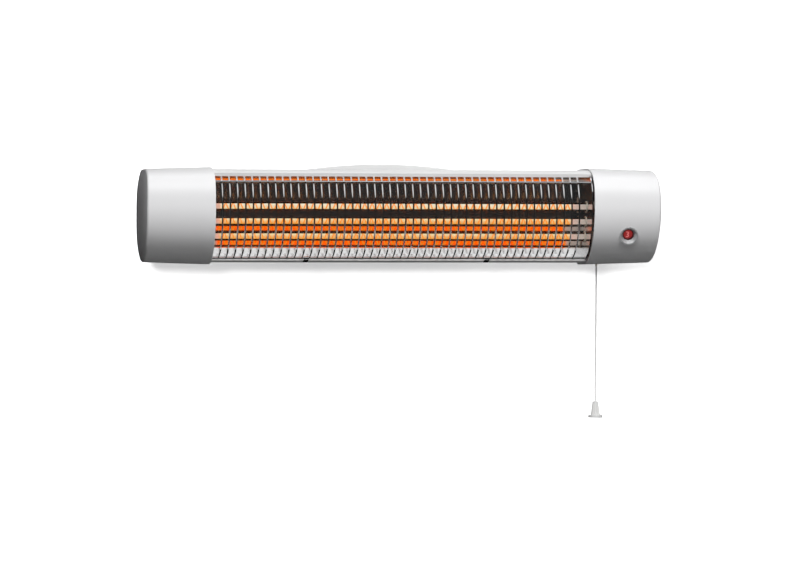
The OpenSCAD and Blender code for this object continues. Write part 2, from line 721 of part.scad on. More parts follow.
// Dial, shaft and ratchet behind the window
dial_offset = 9;
dial_gap = 0.8;
dial_thickness = 1.6;
dial_y = bezel_length + dial_gap;
shaft_radius = 2;
dial_radius = dial_diameter / 2;
ratchet_gap = 0.8;
ratchet_thickness = 3;
ratchet_y = dial_y + dial_thickness + ratchet_gap;
switch_y = ratchet_y + ratchet_thickness + ratchet_gap;
ratchet_radius = 9;
ratchet_teeth = 8;
tooth_depth = 1.6;
switch_length = 30;
module stage_dial() {
    color("white") at_window() difference() {
        bar_y(dial_y, dial_y + dial_thickness, 0, dial_offset, dial_radius);
        bar_y(dial_y - cut, dial_y + dial_thickness + cut, 0, dial_offset, shaft_radius + seat);
    }
}
shaft_end = 0.4;
module dial_shaft() {
    color("ivory") at_window() bar_y(dial_y - shaft_end, switch_y + switch_length / 2, 0, dial_offset, shaft_radius);
}
module ratchet_wheel() {
    color("ivory") at_window() translate([0, ratchet_y, dial_offset]) rotate([-90, 0, 0]) difference() {
        linear_extrude(ratchet_thickness) polygon([for (k = [0:ratchet_teeth - 1]) let (a = 360 * k / ratchet_teeth)
            each [ratchet_radius * [cos(a), sin(a)], (ratchet_radius - tooth_depth) * [cos(a), sin(a)]]]);
        translate([0, 0, -cut]) cylinder(h = ratchet_thickness + 2 * cut, r = shaft_radius + seat, $fn = fine);
    }
}

// Switch body
switch_half = 17;
switch_low = -9;
switch_high = 27;
cover_thickness = 2;
switch_screw_radius = 1.25;
switch_screw_inset = 4;
bearing_clearance = running;
module switch_base() {
    color("dimgray") at_window() difference() {
        block([-switch_half, switch_y + cover_thickness, switch_low], [switch_half, switch_y + switch_length, switch_high]);
        bar_y(switch_y, switch_y + switch_length / 2 + cut, 0, dial_offset, shaft_radius + bearing_clearance);
        switch_screw_places() bar_y(switch_y, switch_y + 2 * switch_screw_inset + cut, 0, 0, switch_screw_radius + seat);
    }
}
module switch_screw_places() {
    for (x = [-1, 1], z = [switch_low + switch_screw_inset, switch_high - switch_screw_inset])
        translate([x * (switch_half - switch_screw_inset), 0, z]) children();
}
module switch_cover() {
    color("gray") at_window() difference() {
        block([-switch_half, switch_y, switch_low], [switch_half, switch_y + cover_thickness - seat, switch_high]);
        bar_y(switch_y - cut, switch_y + cover_thickness + cut, 0, dial_offset, shaft_radius + bearing_clearance);
        switch_screw_places() bar_y(switch_y - cut, switch_y + cover_thickness + cut, 0, 0, switch_screw_radius + fit);
    }
}
switch_head_radius = 2.3;
switch_head_height = 1.2;
module switch_screws() {
    color("silver") at_window() switch_screw_places() {
        bar_y(switch_y - seat, switch_y + 2 * switch_screw_inset, 0, 0, switch_screw_radius);
        bar_y(switch_y - switch_head_height, switch_y - seat, 0, 0, switch_head_radius);
    }
}
tab_width = 6.3;
tab_thickness = 0.8;
tab_reach = 8;
tab_columns = [-10, 0, 10];
tab_top = switch_high - tab_width;
tab_bottom = switch_low + tab_width;
tab_end = switch_y + switch_length + tab_reach;
module blade(x, z) {
    block([x - tab_width / 2, switch_y + switch_length + seat, z - tab_thickness / 2],
        [x + tab_width / 2, tab_end, z + tab_thickness / 2]);
}
module switch_terminals() {
    color("gold") at_window() {
        for (x = tab_columns) blade(x, tab_top);
        blade(tab_columns[2], tab_bottom);
    }
}

// Bracket that carries the switch, the terminal block and the lever's pin
wall_setback = 7;
wall_front = centre_y + wall_setback;
wall_sheet = 2;
wall_back = wall_front + wall_sheet;
wall_half = 36;
wall_reach = 25;
wall_end = window_x + wall_reach;
plate_out = plate_face + plate_sheet + seat;
foot_depth = 16;
foot_low = -15;
foot_high = 30;
arm_half = 12;
arm_setback = 8;
arm_start = switch_y + arm_setback;
arm_end_y = (wall_front - window_y + (switch_high + wall_sheet) * sin(window_lean)) / cos(window_lean);
bracket_screw_y = wall_back + foot_depth / 2;
bracket_screw_places = [foot_low + foot_depth / 2, foot_high - foot_depth / 2];
module switch_bracket() {
    color("silver") difference() {
        union() {
            block([plate_out, wall_front, -wall_half], [wall_end, wall_back, wall_half]);
            block([plate_out, wall_front, foot_low], [plate_out + wall_sheet, wall_back + foot_depth, foot_high]);
            at_window() block([-arm_half, arm_start, switch_high + seat], [arm_half, arm_end_y, switch_high + wall_sheet]);
        }
        bar_y(wall_front - cut, wall_back + cut, pin_x, pin_z, lever_pin_radius + seat);
        bar_y(wall_front - cut, wall_back + cut, supply_x, supply_z, supply_hole);
        for (x = clamp_screw_x) bar_y(wall_front - cut, wall_back + cut, x, clamp_z, clamp_screw_radius + fit);
        for (z = bracket_screw_places)
            bar_x(plate_out - cut, plate_out + wall_sheet + cut, bracket_screw_y, z, bracket_screw_radius + fit);
    }
}
bracket_screw_length = 6;
module bracket_screws() {
    color("silver") for (z = bracket_screw_places) {
        bar_x(plate_out + wall_sheet - bracket_screw_length, plate_out + wall_sheet + seat, bracket_screw_y, z,
            bracket_screw_radius);
        bar_x(plate_out + wall_sheet + seat, plate_out + wall_sheet + head_height, bracket_screw_y, z, cap_screw_head);
    }
}

// Pull rod, lever and return spring
cord_x = right_rim + cord_reach;
cord_y = centre_y + cord_setback;
cord_bottom = bottom_z + taper_at(cord_reach);
pin_x = window_x;
pin_z = 0;
lever_arm = pin_x - cord_x;
lever_half_y = 4;
lever_half_z = 2;
lever_boss = 5;
lever_pin_radius = 2;
pin_shoulder = 4;
pin_head = 3.4;
pin_head_height = 1.8;
slot_half = 1.9;
slot_inner = 2;
slot_outer = 5.6;
slot_wall = 1.6;
rod_stem = 1.5;
rod_ball = 3;
ball_gap = 0.3;
rod_tip = 1.3;
collar_radius = 4;
collar_height = 2;
collar_z = -22;
ball_z = pin_z + lever_half_z + sqrt(pow(rod_ball, 2) - pow(slot_half, 2)) + ball_gap;
guide_radius = 4;
guide_flange = 4.7;
guide_flange_height = 1.6;
// The cap's floor rises under the guide's flange, along the taper and round the sweep
guide_seat = cap_wall + fit + taper_at(guide_flange) + sweep_radius
    - sqrt(pow(sweep_radius, 2) - pow(guide_flange + abs(cord_setback), 2));
guide_rise = 8;
guide_top = cord_bottom + cap_wall + guide_rise;
tip_z = cord_bottom - rod_tip;
module pull_lever() {
    color("ivory") difference() {
        union() {
            bar_y(cord_y - lever_half_y, cord_y + lever_half_y, pin_x, pin_z, lever_boss);
            block([cord_x - slot_outer - slot_wall, cord_y - lever_half_y, pin_z - lever_half_z],
                [pin_x, cord_y + lever_half_y, pin_z + lever_half_z]);
        }
        bar_y(cord_y - lever_half_y - cut, cord_y + lever_half_y + cut, pin_x, pin_z, lever_pin_radius + running);
        block([cord_x - slot_outer, cord_y - slot_half, pin_z - lever_half_z - cut],
            [cord_x + slot_inner, cord_y + slot_half, pin_z + lever_half_z + cut]);
    }
}
module lever_pin() {
    color("silver") {
        bar_y(cord_y - lever_half_y - fit - pin_head_height, wall_back, pin_x, pin_z, lever_pin_radius);
        bar_y(cord_y - lever_half_y - fit - pin_head_height, cord_y - lever_half_y - fit, pin_x, pin_z, pin_head);
        bar_y(cord_y + lever_half_y + fit, wall_front - seat, pin_x, pin_z, pin_shoulder);
    }
}
module pull_rod() {
    color("ivory") {
        bar_z(tip_z, ball_z, cord_x, cord_y, rod_stem);
        translate([cord_x, cord_y, ball_z]) sphere(r = rod_ball, $fn = fine);
        bar_z(collar_z, collar_z + collar_height, cord_x, cord_y, collar_radius);
        translate([cord_x, cord_y, tip_z]) sphere(r = rod_tip, $fn = fine);
    }
}
spring_radius = 2.9;
spring_wire = 0.7;
spring_turns = 6;
spring_rings = spring_turns * rings_per_turn;
spring_low = guide_top + spring_wire / 2 + seat;
spring_high = collar_z - spring_wire / 2 - seat;
spring_points = [for (i = [0:spring_rings]) let (a = 360 * i / rings_per_turn)
    [cord_x + spring_radius * cos(a), cord_y + spring_radius * sin(a),
     spring_low + (spring_high - spring_low) * i / spring_rings]];
spring_ups = [for (i = [0:spring_rings]) let (a = 360 * i / rings_per_turn) [cos(a), sin(a), 0]];
module return_spring() {
    color("silver") swept_tube(spring_points, spring_ups, spring_wire / 2, coil_sides);
}
echo(spring_gap = (spring_high - spring_low) / spring_turns - spring_wire);
module cord_guide() {
    color("whitesmoke") difference() {
        union() {
            bar_z(cord_bottom, guide_top, cord_x, cord_y, guide_radius);
            bar_z(cord_bottom + guide_seat, cord_bottom + guide_seat + guide_flange_height, cord_x, cord_y,
                guide_flange);
        }
        bar_z(cord_bottom - cut, guide_top + cut, cord_x, cord_y, rod_stem + running);
    }
}

// Pull cord and its knob. The route runs down from below the rod's tip, and is chosen by hand
cord_route = [[0, 0, 0], [0, 0, -10], [0, 0, -20], [-0.1, 0, -30], [-0.2, 0, -40], [-0.3, 0, -50], [-0.4, 0, -60],
    [-0.5, 0, -70], [-0.6, 0, -80], [-0.7, 0, -90], [-0.8, 0, -100], [-0.9, 0, -110], [-1, 0, -120], [-1.1, 0, -130],
    [-1.2, 0, -140], [-1.2, 0, -152], [-1.2, 0, -163]];
cord_start = [cord_x, cord_y, tip_z - rod_tip - running];
cord_sides = 8;
cord_steps = 2;
cord_points = [for (i = [0:cord_steps * (len(cord_route) - 1)]) let (k = min(floor(i / cord_steps), len(cord_route) - 2),
    f = i / cord_steps - k) cord_start + cord_route[k] + f * (cord_route[k + 1] - cord_route[k])];
cord_end = cord_start + cord_route[len(cord_route) - 1];
module pull_cord() {
    color("whitesmoke") swept_tube(cord_points, [for (p = cord_points) [1, 0, 0]], cord_diameter / 2, cord_sides);
}
knob_neck = 3.4;
knob_waist = 5.6;
knob_flange_height = 3.2;
knob_bevel = 0.5;
knob_flutes = 12;
knob_flute = 0.9;
module cord_knob() {
    rim = knob_diameter / 2;
    lip = knob_flange_height - knob_height;
    color("whitesmoke") translate(cord_end - [0, 0, seat]) difference() {
        rotate_extrude($fn = fine) polygon([[0, -knob_height], [rim - knob_bevel, -knob_height],
            [rim, knob_bevel - knob_height], [rim, lip - knob_bevel], [rim - knob_bevel, lip], [knob_waist, lip],
            [knob_neck, 0], [0, 0]]);
        for (k = [0:knob_flutes - 1]) rotate([0, 0, 360 * k / knob_flutes]) translate([knob_waist, 0, lip + knob_bevel])
            rotate([0, -atan2(knob_waist - knob_neck, -lip), 0]) cylinder(h = knob_height, r = knob_flute, $fn = fine);
    }
}

// Mains terminal block, inlet grommet and cable clamp
block_low = 2;
block_height = 16;
block_depth = 16;
block_start = 18.4;
block_length = 42;
block_x = right_rim + block_start;
post_count = 4;
post_radius = 1.8;
post_depth = 5;
post_margin = 4;
module post_places() {
    for (i = [0:post_count - 1], z = [block_low + post_margin, block_low + block_height - post_margin])
        translate([block_x + block_length * (i + 1 / 2) / post_count, 0, z]) children();
}
module terminal_block() {
    color("white") difference() {
        block([block_x, wall_back + seat, block_low], [block_x + block_length, wall_back + block_depth,
            block_low + block_height]);
        post_places() bar_y(wall_back + block_depth - post_depth, wall_back + block_depth + cut, 0, 0, post_radius + fit);
    }
}
module terminal_screws() {
    color("gold") post_places()
        bar_y(wall_back + block_depth - post_depth + seat, wall_back + block_depth, 0, 0, post_radius);
}
inlet_reach = 9.7;
inlet_x = window_x + inlet_reach;
inlet_z = -25;
grommet_neck = 7;
grommet_flange = 9;
grommet_lip = 2;
grommet_lip_gap = taper_at(grommet_flange) + fit;
grommet_face = back_y - taper_at(inlet_x - right_rim);
module cable_grommet() {
    outside = grommet_face + grommet_lip_gap;
    inside = grommet_face - cap_wall - grommet_lip_gap;
    color("dimgray") difference() {
        union() {
            bar_y(inside - grommet_lip, outside + grommet_lip, inlet_x, inlet_z, grommet_neck - fit);
            bar_y(outside, outside + grommet_lip, inlet_x, inlet_z, grommet_flange);
            bar_y(inside - grommet_lip, inside, inlet_x, inlet_z, grommet_flange);
        }
        bar_y(inside - grommet_lip - cut, outside + grommet_lip + cut, inlet_x, inlet_z, cable_bore / 2);
    }
}
clamp_half = 12;
clamp_depth = 10;
clamp_tall = 8;
clamp_z = -26;
clamp_screw_inset = 3;
clamp_screw_radius = 1.5;
clamp_screw_x = [inlet_x - clamp_half + clamp_screw_inset, inlet_x + clamp_half - clamp_screw_inset];
module cable_clamp() {
    color("white") difference() {
        block([inlet_x - clamp_half, wall_back + seat, clamp_z - clamp_tall / 2],
            [inlet_x + clamp_half, wall_back + clamp_depth, clamp_z + clamp_tall / 2]);
        bar_z(clamp_z - clamp_tall / 2 - cut, clamp_z + clamp_tall / 2 + cut, inlet_x, wall_back + cable_bore / 2 - cut / 2,
            cable_bore / 2);
        for (x = clamp_screw_x)
            bar_y(wall_back - cut, wall_back + clamp_depth + cut, x, clamp_z, clamp_screw_radius + fit);
    }
}
module clamp_screws() {
    face = wall_back + clamp_depth;
    color("silver") for (x = clamp_screw_x) {
        bar_y(wall_front - cut, face + seat, x, clamp_z, clamp_screw_radius);
        bar_y(face + seat, face + head_height, x, clamp_z, cap_screw_head);
    }
}

// Cut-out, bus bar and leads
tab_shift = 5;
cutout_y = lead_y - tab_shift;
cutout_z = 20;
cutout_radius = 8;
cutout_height = 8;
cutout_tab = 3.3;
bar_sheet = 1;
bar_width = 7;
bus_x = plate_out + cutout_height + cutout_tab;
module thermal_cutout() {
    face = plate_out + cutout_height;
    color("dimgray") mirror([1, 0, 0]) {
        bar_x(plate_out, face, cutout_y, cutout_z, cutout_radius);
        block([face - seat, cutout_y - tab_shift - bar_width / 2, cutout_z - bar_width / 2],
            [face + cutout_tab - seat, cutout_y - tab_shift + tab_thickness - bar_width / 2, cutout_z + bar_width / 2]);
        block([face - seat, cutout_y + tab_shift - tab_width / 2, cutout_z - tab_thickness / 2],
            [bus_x + bar_sheet, cutout_y + tab_shift + tab_width / 2, cutout_z + tab_thickness / 2]);
    }
}
module left_bus_bar() {
    color("gold") mirror([1, 0, 0]) difference() {
        along_x(bus_x, bus_x + bar_sheet) {
            polygon(strip([for (k = [0:tube_count - 1]) [tube_y(k), tube_z(k)]]
                + [[-bar_sheet, bar_width / 2], [0, 0], [bar_sheet, -bar_width / 2]], bar_width));
            polygon(strip([[tube_y(0), tube_z(0)], [tube_y(0) + bar_width, cutout_z],
                [cutout_y - tab_shift, cutout_z]], bar_width));
        }
        for (k = [0:tube_count - 1])
            bar_x(bus_x - cut, bus_x + bar_sheet + cut, tube_y(k), tube_z(k), pin_radius + seat);
    }
}
// A wire of straight runs with rounded elbows, swept about a direction that no run follows
lead_sides = 8;
lead_bend = 2.2;
lead_up = [1, 1, 1];
function elbow(pts, i) = let (a = lead_bend * unit(pts[i - 1] - pts[i]), b = lead_bend * unit(pts[i + 1] - pts[i]))
    [pts[i] + a, pts[i] + (a + b) / 4, pts[i] + b];
function elbows(pts) = concat([pts[0]], [for (i = [1:len(pts) - 2]) each elbow(pts, i)], [pts[len(pts) - 1]]);
module lead(pts) {
    route = elbows(pts);
    swept_tube(route, [for (p = route) lead_up], lead_radius, lead_sides);
}
function window_place(p) = [window_x + p[0],
    window_y + p[1] * cos(window_lean) - p[2] * sin(window_lean),
    window_z + p[1] * sin(window_lean) + p[2] * cos(window_lean)];
pin_tip = coil_ends + 2 * seat + pin_length;
lead_turn = 4;
block_y = wall_back + block_depth / 2;
return_x = block_x + block_length / (2 * post_count);
return_route = [[-bus_x - bar_sheet - seat, lead_y, cutout_z], [-bus_x - lead_turn, lead_y, cutout_z],
    [-bus_x - lead_turn, lead_y, lead_z], [return_x, lead_y, lead_z], [return_x, block_y, lead_z],
    [return_x, block_y, block_low + block_height + seat]];
module return_lead() { color("steelblue") lead(return_route); }
middle_gap = 7.2;
lower_gap = 3.2;
upper_column = pin_tip + lead_turn;
middle_column = upper_column + middle_gap;
lower_column = upper_column + lower_gap;
upper_start = window_place([tab_columns[0], tab_end + seat, tab_top]);
upper_bend = window_place([tab_columns[0], tab_end + lead_turn, tab_top]);
middle_start = window_place([tab_columns[1], tab_end + seat, tab_top]);
middle_bend = window_place([tab_columns[1], tab_end + 3 * lead_turn, tab_top]);
lower_start = window_place([tab_columns[2], tab_end + seat, tab_top]);
lower_bend = window_place([tab_columns[2], tab_end + 4 * lead_turn, tab_top]);
lead_rise = 4.5;
switch_left = window_x - switch_half;
upper_route = [upper_start, upper_bend, [switch_left - lead_radius, upper_bend[1], upper_bend[2] + lead_rise],
    [upper_column, tube_y(0), upper_bend[2] + lead_rise], [upper_column, tube_y(0), tube_z(0)],
    [pin_tip, tube_y(0), tube_z(0)]];
middle_route = [middle_start, middle_bend, [middle_column, middle_bend[1], middle_bend[2] - lead_rise],
    [middle_column, tube_y(1), middle_bend[2] - lead_rise - lead_radius], [middle_column, tube_y(1), tube_z(1)],
    [pin_tip, tube_y(1), tube_z(1)]];
lower_route = [lower_start, lower_bend, lower_bend + [0, 0, lead_rise],
    [lower_column, lower_bend[1], lower_bend[2] + lead_rise], [lower_column, tube_y(2), lower_bend[2] + lead_rise],
    [lower_column, tube_y(2), tube_z(2)], [pin_tip, tube_y(2), tube_z(2)]];
module switch_leads() {
    color("firebrick") for (r = [upper_route, middle_route, lower_route]) lead(r);
}
supply_start = window_place([tab_columns[2], tab_end + seat, tab_bottom]);
supply_bend = window_place([tab_columns[2], tab_end + lead_turn, tab_bottom]);
supply_x = supply_start[0];
supply_z = supply_bend[2];
supply_hole = 2.6;
supply_route = [supply_start, supply_bend, [supply_x, block_y, supply_z], [supply_x, block_y, block_low - seat]];
module supply_leads() { color("saddlebrown") lead(supply_route); }
earth_rise = 8;
earth_z = earth_rise - wall_half;
earth_half = 5;
earth_sheet = 1;
earth_route = [[return_x, block_y, block_low - seat], [return_x, block_y, earth_z],
    [plate_out + earth_sheet + seat, block_y, earth_z]];
module earth_lead() { color("yellowgreen") lead(earth_route); }
module earth_tag() {
    color("silver") block([plate_out, block_y - earth_half, earth_z - earth_half],
        [plate_out + earth_sheet, block_y + earth_half, earth_z + earth_half]);
}

wall_bracket();
pivot_screws();
pivot_nuts();
friction_washers();
housing_shell();
hinge_lugs();
lug_screws();
reflector();
left_end_plate();
right_end_plate();
end_plate_screws();
grille_wires();
grille_rods();
grille_clips();
upper_quartz_tube();
middle_quartz_tube();
lower_quartz_tube();
upper_heating_coil();
middle_heating_coil();
lower_heating_coil();
left_ceramic_holders();
right_ceramic_holders();
tube_terminals();
left_end_cap();
right_end_cap();
cap_screws();
window_bezel();
window_lens();
stage_dial();
dial_shaft();
ratchet_wheel();
switch_base();
switch_cover();
switch_screws();
switch_terminals();
switch_bracket();
bracket_screws();
pull_lever();
lever_pin();
pull_rod();
return_spring();
cord_guide();
pull_cord();
cord_knob();
terminal_block();
terminal_screws();
cable_grommet();
cable_clamp();
clamp_screws();
thermal_cutout();
left_bus_bar();
return_lead();
switch_leads();
supply_leads();
earth_tag();
earth_lead();
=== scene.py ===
# %% [markdown]
# # A quartz heater on its wall bracket
# The CAD model of the heater is loaded first, and it stays fixed: every piece made here sits in its
# frame, in metres, with X along the heater, +Y into the wall and Z up. The cells below add what a
# construction model leaves out: smooth lacquered caps, bright wires, glowing coils and a braided cord.

# %% Load the frame
import json
import math
import bmesh
import bpy
from mathutils import Matrix, Vector


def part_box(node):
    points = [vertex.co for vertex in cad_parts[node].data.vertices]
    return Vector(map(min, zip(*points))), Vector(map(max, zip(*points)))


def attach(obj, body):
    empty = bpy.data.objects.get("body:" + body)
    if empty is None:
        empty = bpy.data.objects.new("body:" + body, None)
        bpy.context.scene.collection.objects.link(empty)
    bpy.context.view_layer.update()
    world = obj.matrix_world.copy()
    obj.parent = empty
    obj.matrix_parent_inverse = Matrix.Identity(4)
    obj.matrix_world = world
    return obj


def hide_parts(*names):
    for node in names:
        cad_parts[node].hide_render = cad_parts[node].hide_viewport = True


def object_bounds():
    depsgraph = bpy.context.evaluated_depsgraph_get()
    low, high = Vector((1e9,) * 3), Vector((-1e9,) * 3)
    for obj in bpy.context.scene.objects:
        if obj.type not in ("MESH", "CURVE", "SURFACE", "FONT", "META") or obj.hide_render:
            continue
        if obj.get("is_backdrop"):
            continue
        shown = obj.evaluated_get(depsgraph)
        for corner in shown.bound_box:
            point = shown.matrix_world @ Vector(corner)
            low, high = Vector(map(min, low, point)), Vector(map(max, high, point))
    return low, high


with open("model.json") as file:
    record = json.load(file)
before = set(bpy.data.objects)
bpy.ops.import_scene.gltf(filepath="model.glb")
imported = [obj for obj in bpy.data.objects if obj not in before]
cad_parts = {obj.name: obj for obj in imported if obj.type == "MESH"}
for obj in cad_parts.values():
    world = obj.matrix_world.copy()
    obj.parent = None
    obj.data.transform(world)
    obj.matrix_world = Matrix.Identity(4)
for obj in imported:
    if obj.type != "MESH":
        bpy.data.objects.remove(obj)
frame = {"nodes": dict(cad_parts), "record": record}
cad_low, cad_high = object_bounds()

MM = 0.001
nodes = frame["nodes"]
body_of = {name: body for body, names in frame["record"]["behaviour"]["bodies"].items() for name in names}
slot_of = {part["node"]: part["material_slot"] for part in frame["record"]["subparts"]}
print("CAD box in mm:", [round(v / MM, 1) for v in (cad_high - cad_low)])

# %% [markdown]
# ## The camera
# The photo was taken a little from the left and level with the cord's middle, from far away, so that the
# heater's ends hardly converge. A long lens from almost six metres gives that flat look. Its focal length
# follows from the photo's scale: one pixel is 1.2 mm at the heater.

# %% Camera
PHOTO_WIDTH = 796
PIXEL_SIZE = 1.2 * MM
VIEW_TURN = math.radians(-8.8)
VIEW_DISTANCE = 5.8
VIEW_TARGET = Vector((0.0045, -0.118, -0.089))

camera = bpy.data.objects.new("photo_camera", bpy.data.cameras.new("photo_camera"))
bpy.context.scene.collection.objects.link(camera)
camera.data.sensor_width = 36
camera.data.lens = camera.data.sensor_width * VIEW_DISTANCE / (PIXEL_SIZE * PHOTO_WIDTH)
view_back = Vector((math.sin(VIEW_TURN), -math.cos(VIEW_TURN), 0))
camera.location = VIEW_TARGET + VIEW_DISTANCE * view_back
camera.rotation_euler = (math.radians(90), 0, VIEW_TURN)
bpy.context.scene.camera = camera
print("Lens in mm:", round(camera.data.lens, 1))

# %% [markdown]
# ## Tools for pieces
# A finished piece is a plain mesh whose object sits at the origin, with its place in the mesh, as each
# CAD node is.

# %% Helpers for meshes
def new_object(name, mesh):
    """Puts a mesh into the scene under a name."""
    piece = bpy.data.objects.new(name, mesh)
    bpy.context.scene.collection.objects.link(piece)
    return piece


def mesh_from(name, points, faces):
    """Makes a mesh from points in metres and faces."""
    mesh = bpy.data.meshes.new(name)
    mesh.from_pydata([tuple(p) for p in points], [], faces)
    mesh.update()
    return mesh


def round_angles(sides):
    """The angles of the corners of a many-sided ring."""
    return [2 * math.pi * k / sides for k in range(sides)]


def belt(first, second, count):
    """Faces between two rings of points, by the number of each ring's first point."""
    return [(first + k, second + k, second + (k + 1) % count, first + (k + 1) % count) for k in range(count)]


def smooth(mesh, crease_angle):
    """Shades a mesh smooth, with edges over an angle kept sharp."""
    mesh.shade_smooth()
    mesh.set_sharp_from_angle(angle=math.radians(crease_angle))


def settle(piece):
    """Turns a piece and its modifiers into one plain mesh and removes the modifiers."""
    bpy.context.view_layer.update()
    made = bpy.data.meshes.new_from_object(piece.evaluated_get(bpy.context.evaluated_depsgraph_get()))
    piece.modifiers.clear()
    piece.data = made
    return piece


def fit_in(piece, replaced, crease_angle=32):
    """Shades a piece, and lets it stand for a CAD node, on its body and in its material if it has none."""
    smooth(piece.data, crease_angle)
    if not piece.data.materials:
        piece.data.materials.append(finishes[slot_of[replaced]])
    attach(piece, body_of[replaced])
    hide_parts(replaced)
    print(piece.name, "has", len(piece.data.polygons), "faces")


# %% [markdown]
# ## Tools for materials
# Colours are written as sRGB hex values, as a paint chart gives them, and one function turns them into the
# linear values that the shaders use. One function adds a node, sets its properties and fills its inputs.

# %% Helpers for materials
def colour(text):
    """Turns an sRGB hex colour into linear red, green, blue and alpha."""
    parts = [int(text[i:i + 2], 16) / 255 for i in (1, 3, 5)]
    return tuple(c / 12.92 if c <= 0.04045 else ((c + 0.055) / 1.055) ** 2.4 for c in parts) + (1.0,)


def add(tree, kind, settings=None, inputs=None):
    """Adds a node, sets its properties, and fills its inputs or links them to sockets or other nodes."""
    node = tree.nodes.new(kind)
    for name, value in (settings or {}).items():
        setattr(node, name, value)
    for name, value in (inputs or {}).items():
        if isinstance(value, bpy.types.Node):
            value = value.outputs[0]
        if isinstance(value, bpy.types.NodeSocket):
            tree.links.new(value, node.inputs[name])
        else:
            node.inputs[name].default_value = value
    return node


def blank_material(name):
    """Makes an empty material and returns it with its tree and its point in object coordinates."""
    material = bpy.data.materials.new(name)
    material.use_nodes = True
    tree = material.node_tree
    tree.nodes.clear()
    return material, tree, add(tree, "ShaderNodeTexCoord").outputs["Object"]


def finish(material, shader):
    """Links a shader to a material's output, and returns the material."""
    add(material.node_tree, "ShaderNodeOutputMaterial", inputs={"Surface": shader})
    return material


def speckle(tree, point, size, stretch=(1, 1, 1), detail=3.0):
    """A noise whose grains measure size metres, stretched along an axis where a share is below one."""
    scaled = add(tree, "ShaderNodeVectorMath", {"operation": "MULTIPLY"}, {0: point, 1: stretch})
    return add(tree, "ShaderNodeTexNoise", inputs={"Vector": scaled, "Scale": 1 / size,
                                                    "Detail": detail}).outputs["Fac"]


def maths(tree, operation, first, second):
    """A product, a maximum or the like of two values."""
    return add(tree, "ShaderNodeMath", {"operation": operation}, {0: first, 1: second})


def mapped(tree, value, from_min, from_max, to_min=0.0, to_max=1.0):
    """Maps one range of a value onto another, and holds it there."""
    return add(tree, "ShaderNodeMapRange", inputs={"Value": value, "From Min": from_min, "From Max": from_max,
                                                   "To Min": to_min, "To Max": to_max})


def spread(tree, value, low, high):
    """Maps a noise's usual range onto two values."""
    return mapped(tree, value, 0.3, 0.7, low, high)


def tint(tree, value, dark, light):
    """Mixes two colours by a value."""
    return add(tree, "ShaderNodeMix", {"data_type": "RGBA"},
               {0: value, 6: colour(dark), 7: colour(light)}).outputs[2]


def blend(tree, share, first, second):
    """Mixes two shaders by a value."""
    return add(tree, "ShaderNodeMixShader", inputs={0: share, 1: first, 2: second})


def bump(tree, height, depth, strength=1.0):
    """A bump of a real depth in metres."""
    return add(tree, "ShaderNodeBump", inputs={"Height": height, "Distance": depth,
                                               "Strength": strength})


# %% [markdown]
# ## Moulded plastics, rubber and insulation
# Most small pieces are injection-moulded. A mould that was spark-eroded leaves a fine, even grain, which
# breaks up the gloss, and the colour clouds very slightly where the melt flowed. One recipe serves them
# all: a base colour with clouds some centimetres wide, a grain of 0.4 mm, and its own roughness.

# %% Moulded materials
def moulded(name, dark, light, roughness, grain=0.4 * MM, depth=0.012 * MM, ior=1.49):
    """Moulded plastic or rubber with clouded colour and an eroded grain."""
    material, tree, point = blank_material(name)
    clouds = speckle(tree, point, 35 * MM)
    grains = speckle(tree, point, grain)
    return finish(material, add(tree, "ShaderNodeBsdfPrincipled", inputs={
        "Base Color": tint(tree, clouds, dark, light),
        "Roughness": spread(tree, grains, roughness - 0.05, roughness + 0.05),
        "Normal": bump(tree, grains, depth), "IOR": ior}))


finishes = {
    # Polyamide of the switch and the hand screws: deep black with a dull, grained sheen
    "black_moulding": moulded("black_polyamide_grained", "#121212", "#1C1C1D", 0.48),
    # Thermoset of the switch cover: warm mid grey, nearly matt
    "grey_moulding": moulded("grey_thermoset_moulded", "#58585A", "#666668", 0.55),
    # Polypropylene of the knob and the guide: soft white with a low gloss
    "white_moulding": moulded("white_polypropylene_moulded", "#DCDCDB", "#E6E6E5", 0.38),
    # Acetal of the lever and the rod: milky, smooth and slightly waxy
    "natural_moulding": moulded("natural_acetal_moulded", "#D8D4C4", "#E4E0D2", 0.32),
    # Rubber of the grommet and the washers: black, and dull as soot
    "black_rubber": moulded("black_rubber_moulded", "#0E0E0E", "#191919", 0.72, 0.6 * MM, 0.03 * MM),
    # Steatite of the tube holders: cream, unglazed and dry like biscuit porcelain
    "steatite": moulded("steatite_unglazed", "#DAD2C0", "#E8E1D2", 0.66, 0.5 * MM, 0.02 * MM, 1.6),
    # Silicone sleeves of the wires: saturated colours with a soft skin
    "blue_lead": moulded("blue_silicone_sleeve", "#123E8C", "#1B4DA4", 0.42, 1.2 * MM),
    "red_lead": moulded("red_silicone_sleeve", "#8E1C12", "#A42418", 0.42, 1.2 * MM),
    "brown_lead": moulded("brown_silicone_sleeve", "#4A2812", "#5A3218", 0.42, 1.2 * MM),
}


def striped_sleeve(name):
    """Green sleeve with a yellow stripe, as every earth wire has."""
    material, tree, point = blank_material(name)
    bands = add(tree, "ShaderNodeTexWave", {"bands_direction": "DIAGONAL"},
                {"Vector": point, "Scale": 1 / (16 * MM), "Distortion": 0.4})
    stripe = mapped(tree, bands.outputs["Fac"], 0.55, 0.62)
    return finish(material, add(tree, "ShaderNodeBsdfPrincipled", inputs={
        "Base Color": tint(tree, stripe, "#1E7A32", "#D8C21E"),
        "Roughness": spread(tree, speckle(tree, point, 1.2 * MM), 0.36, 0.46)}))


finishes["earth_lead"] = striped_sleeve("earth_silicone_sleeve")
print("Moulded materials:", len(finishes))

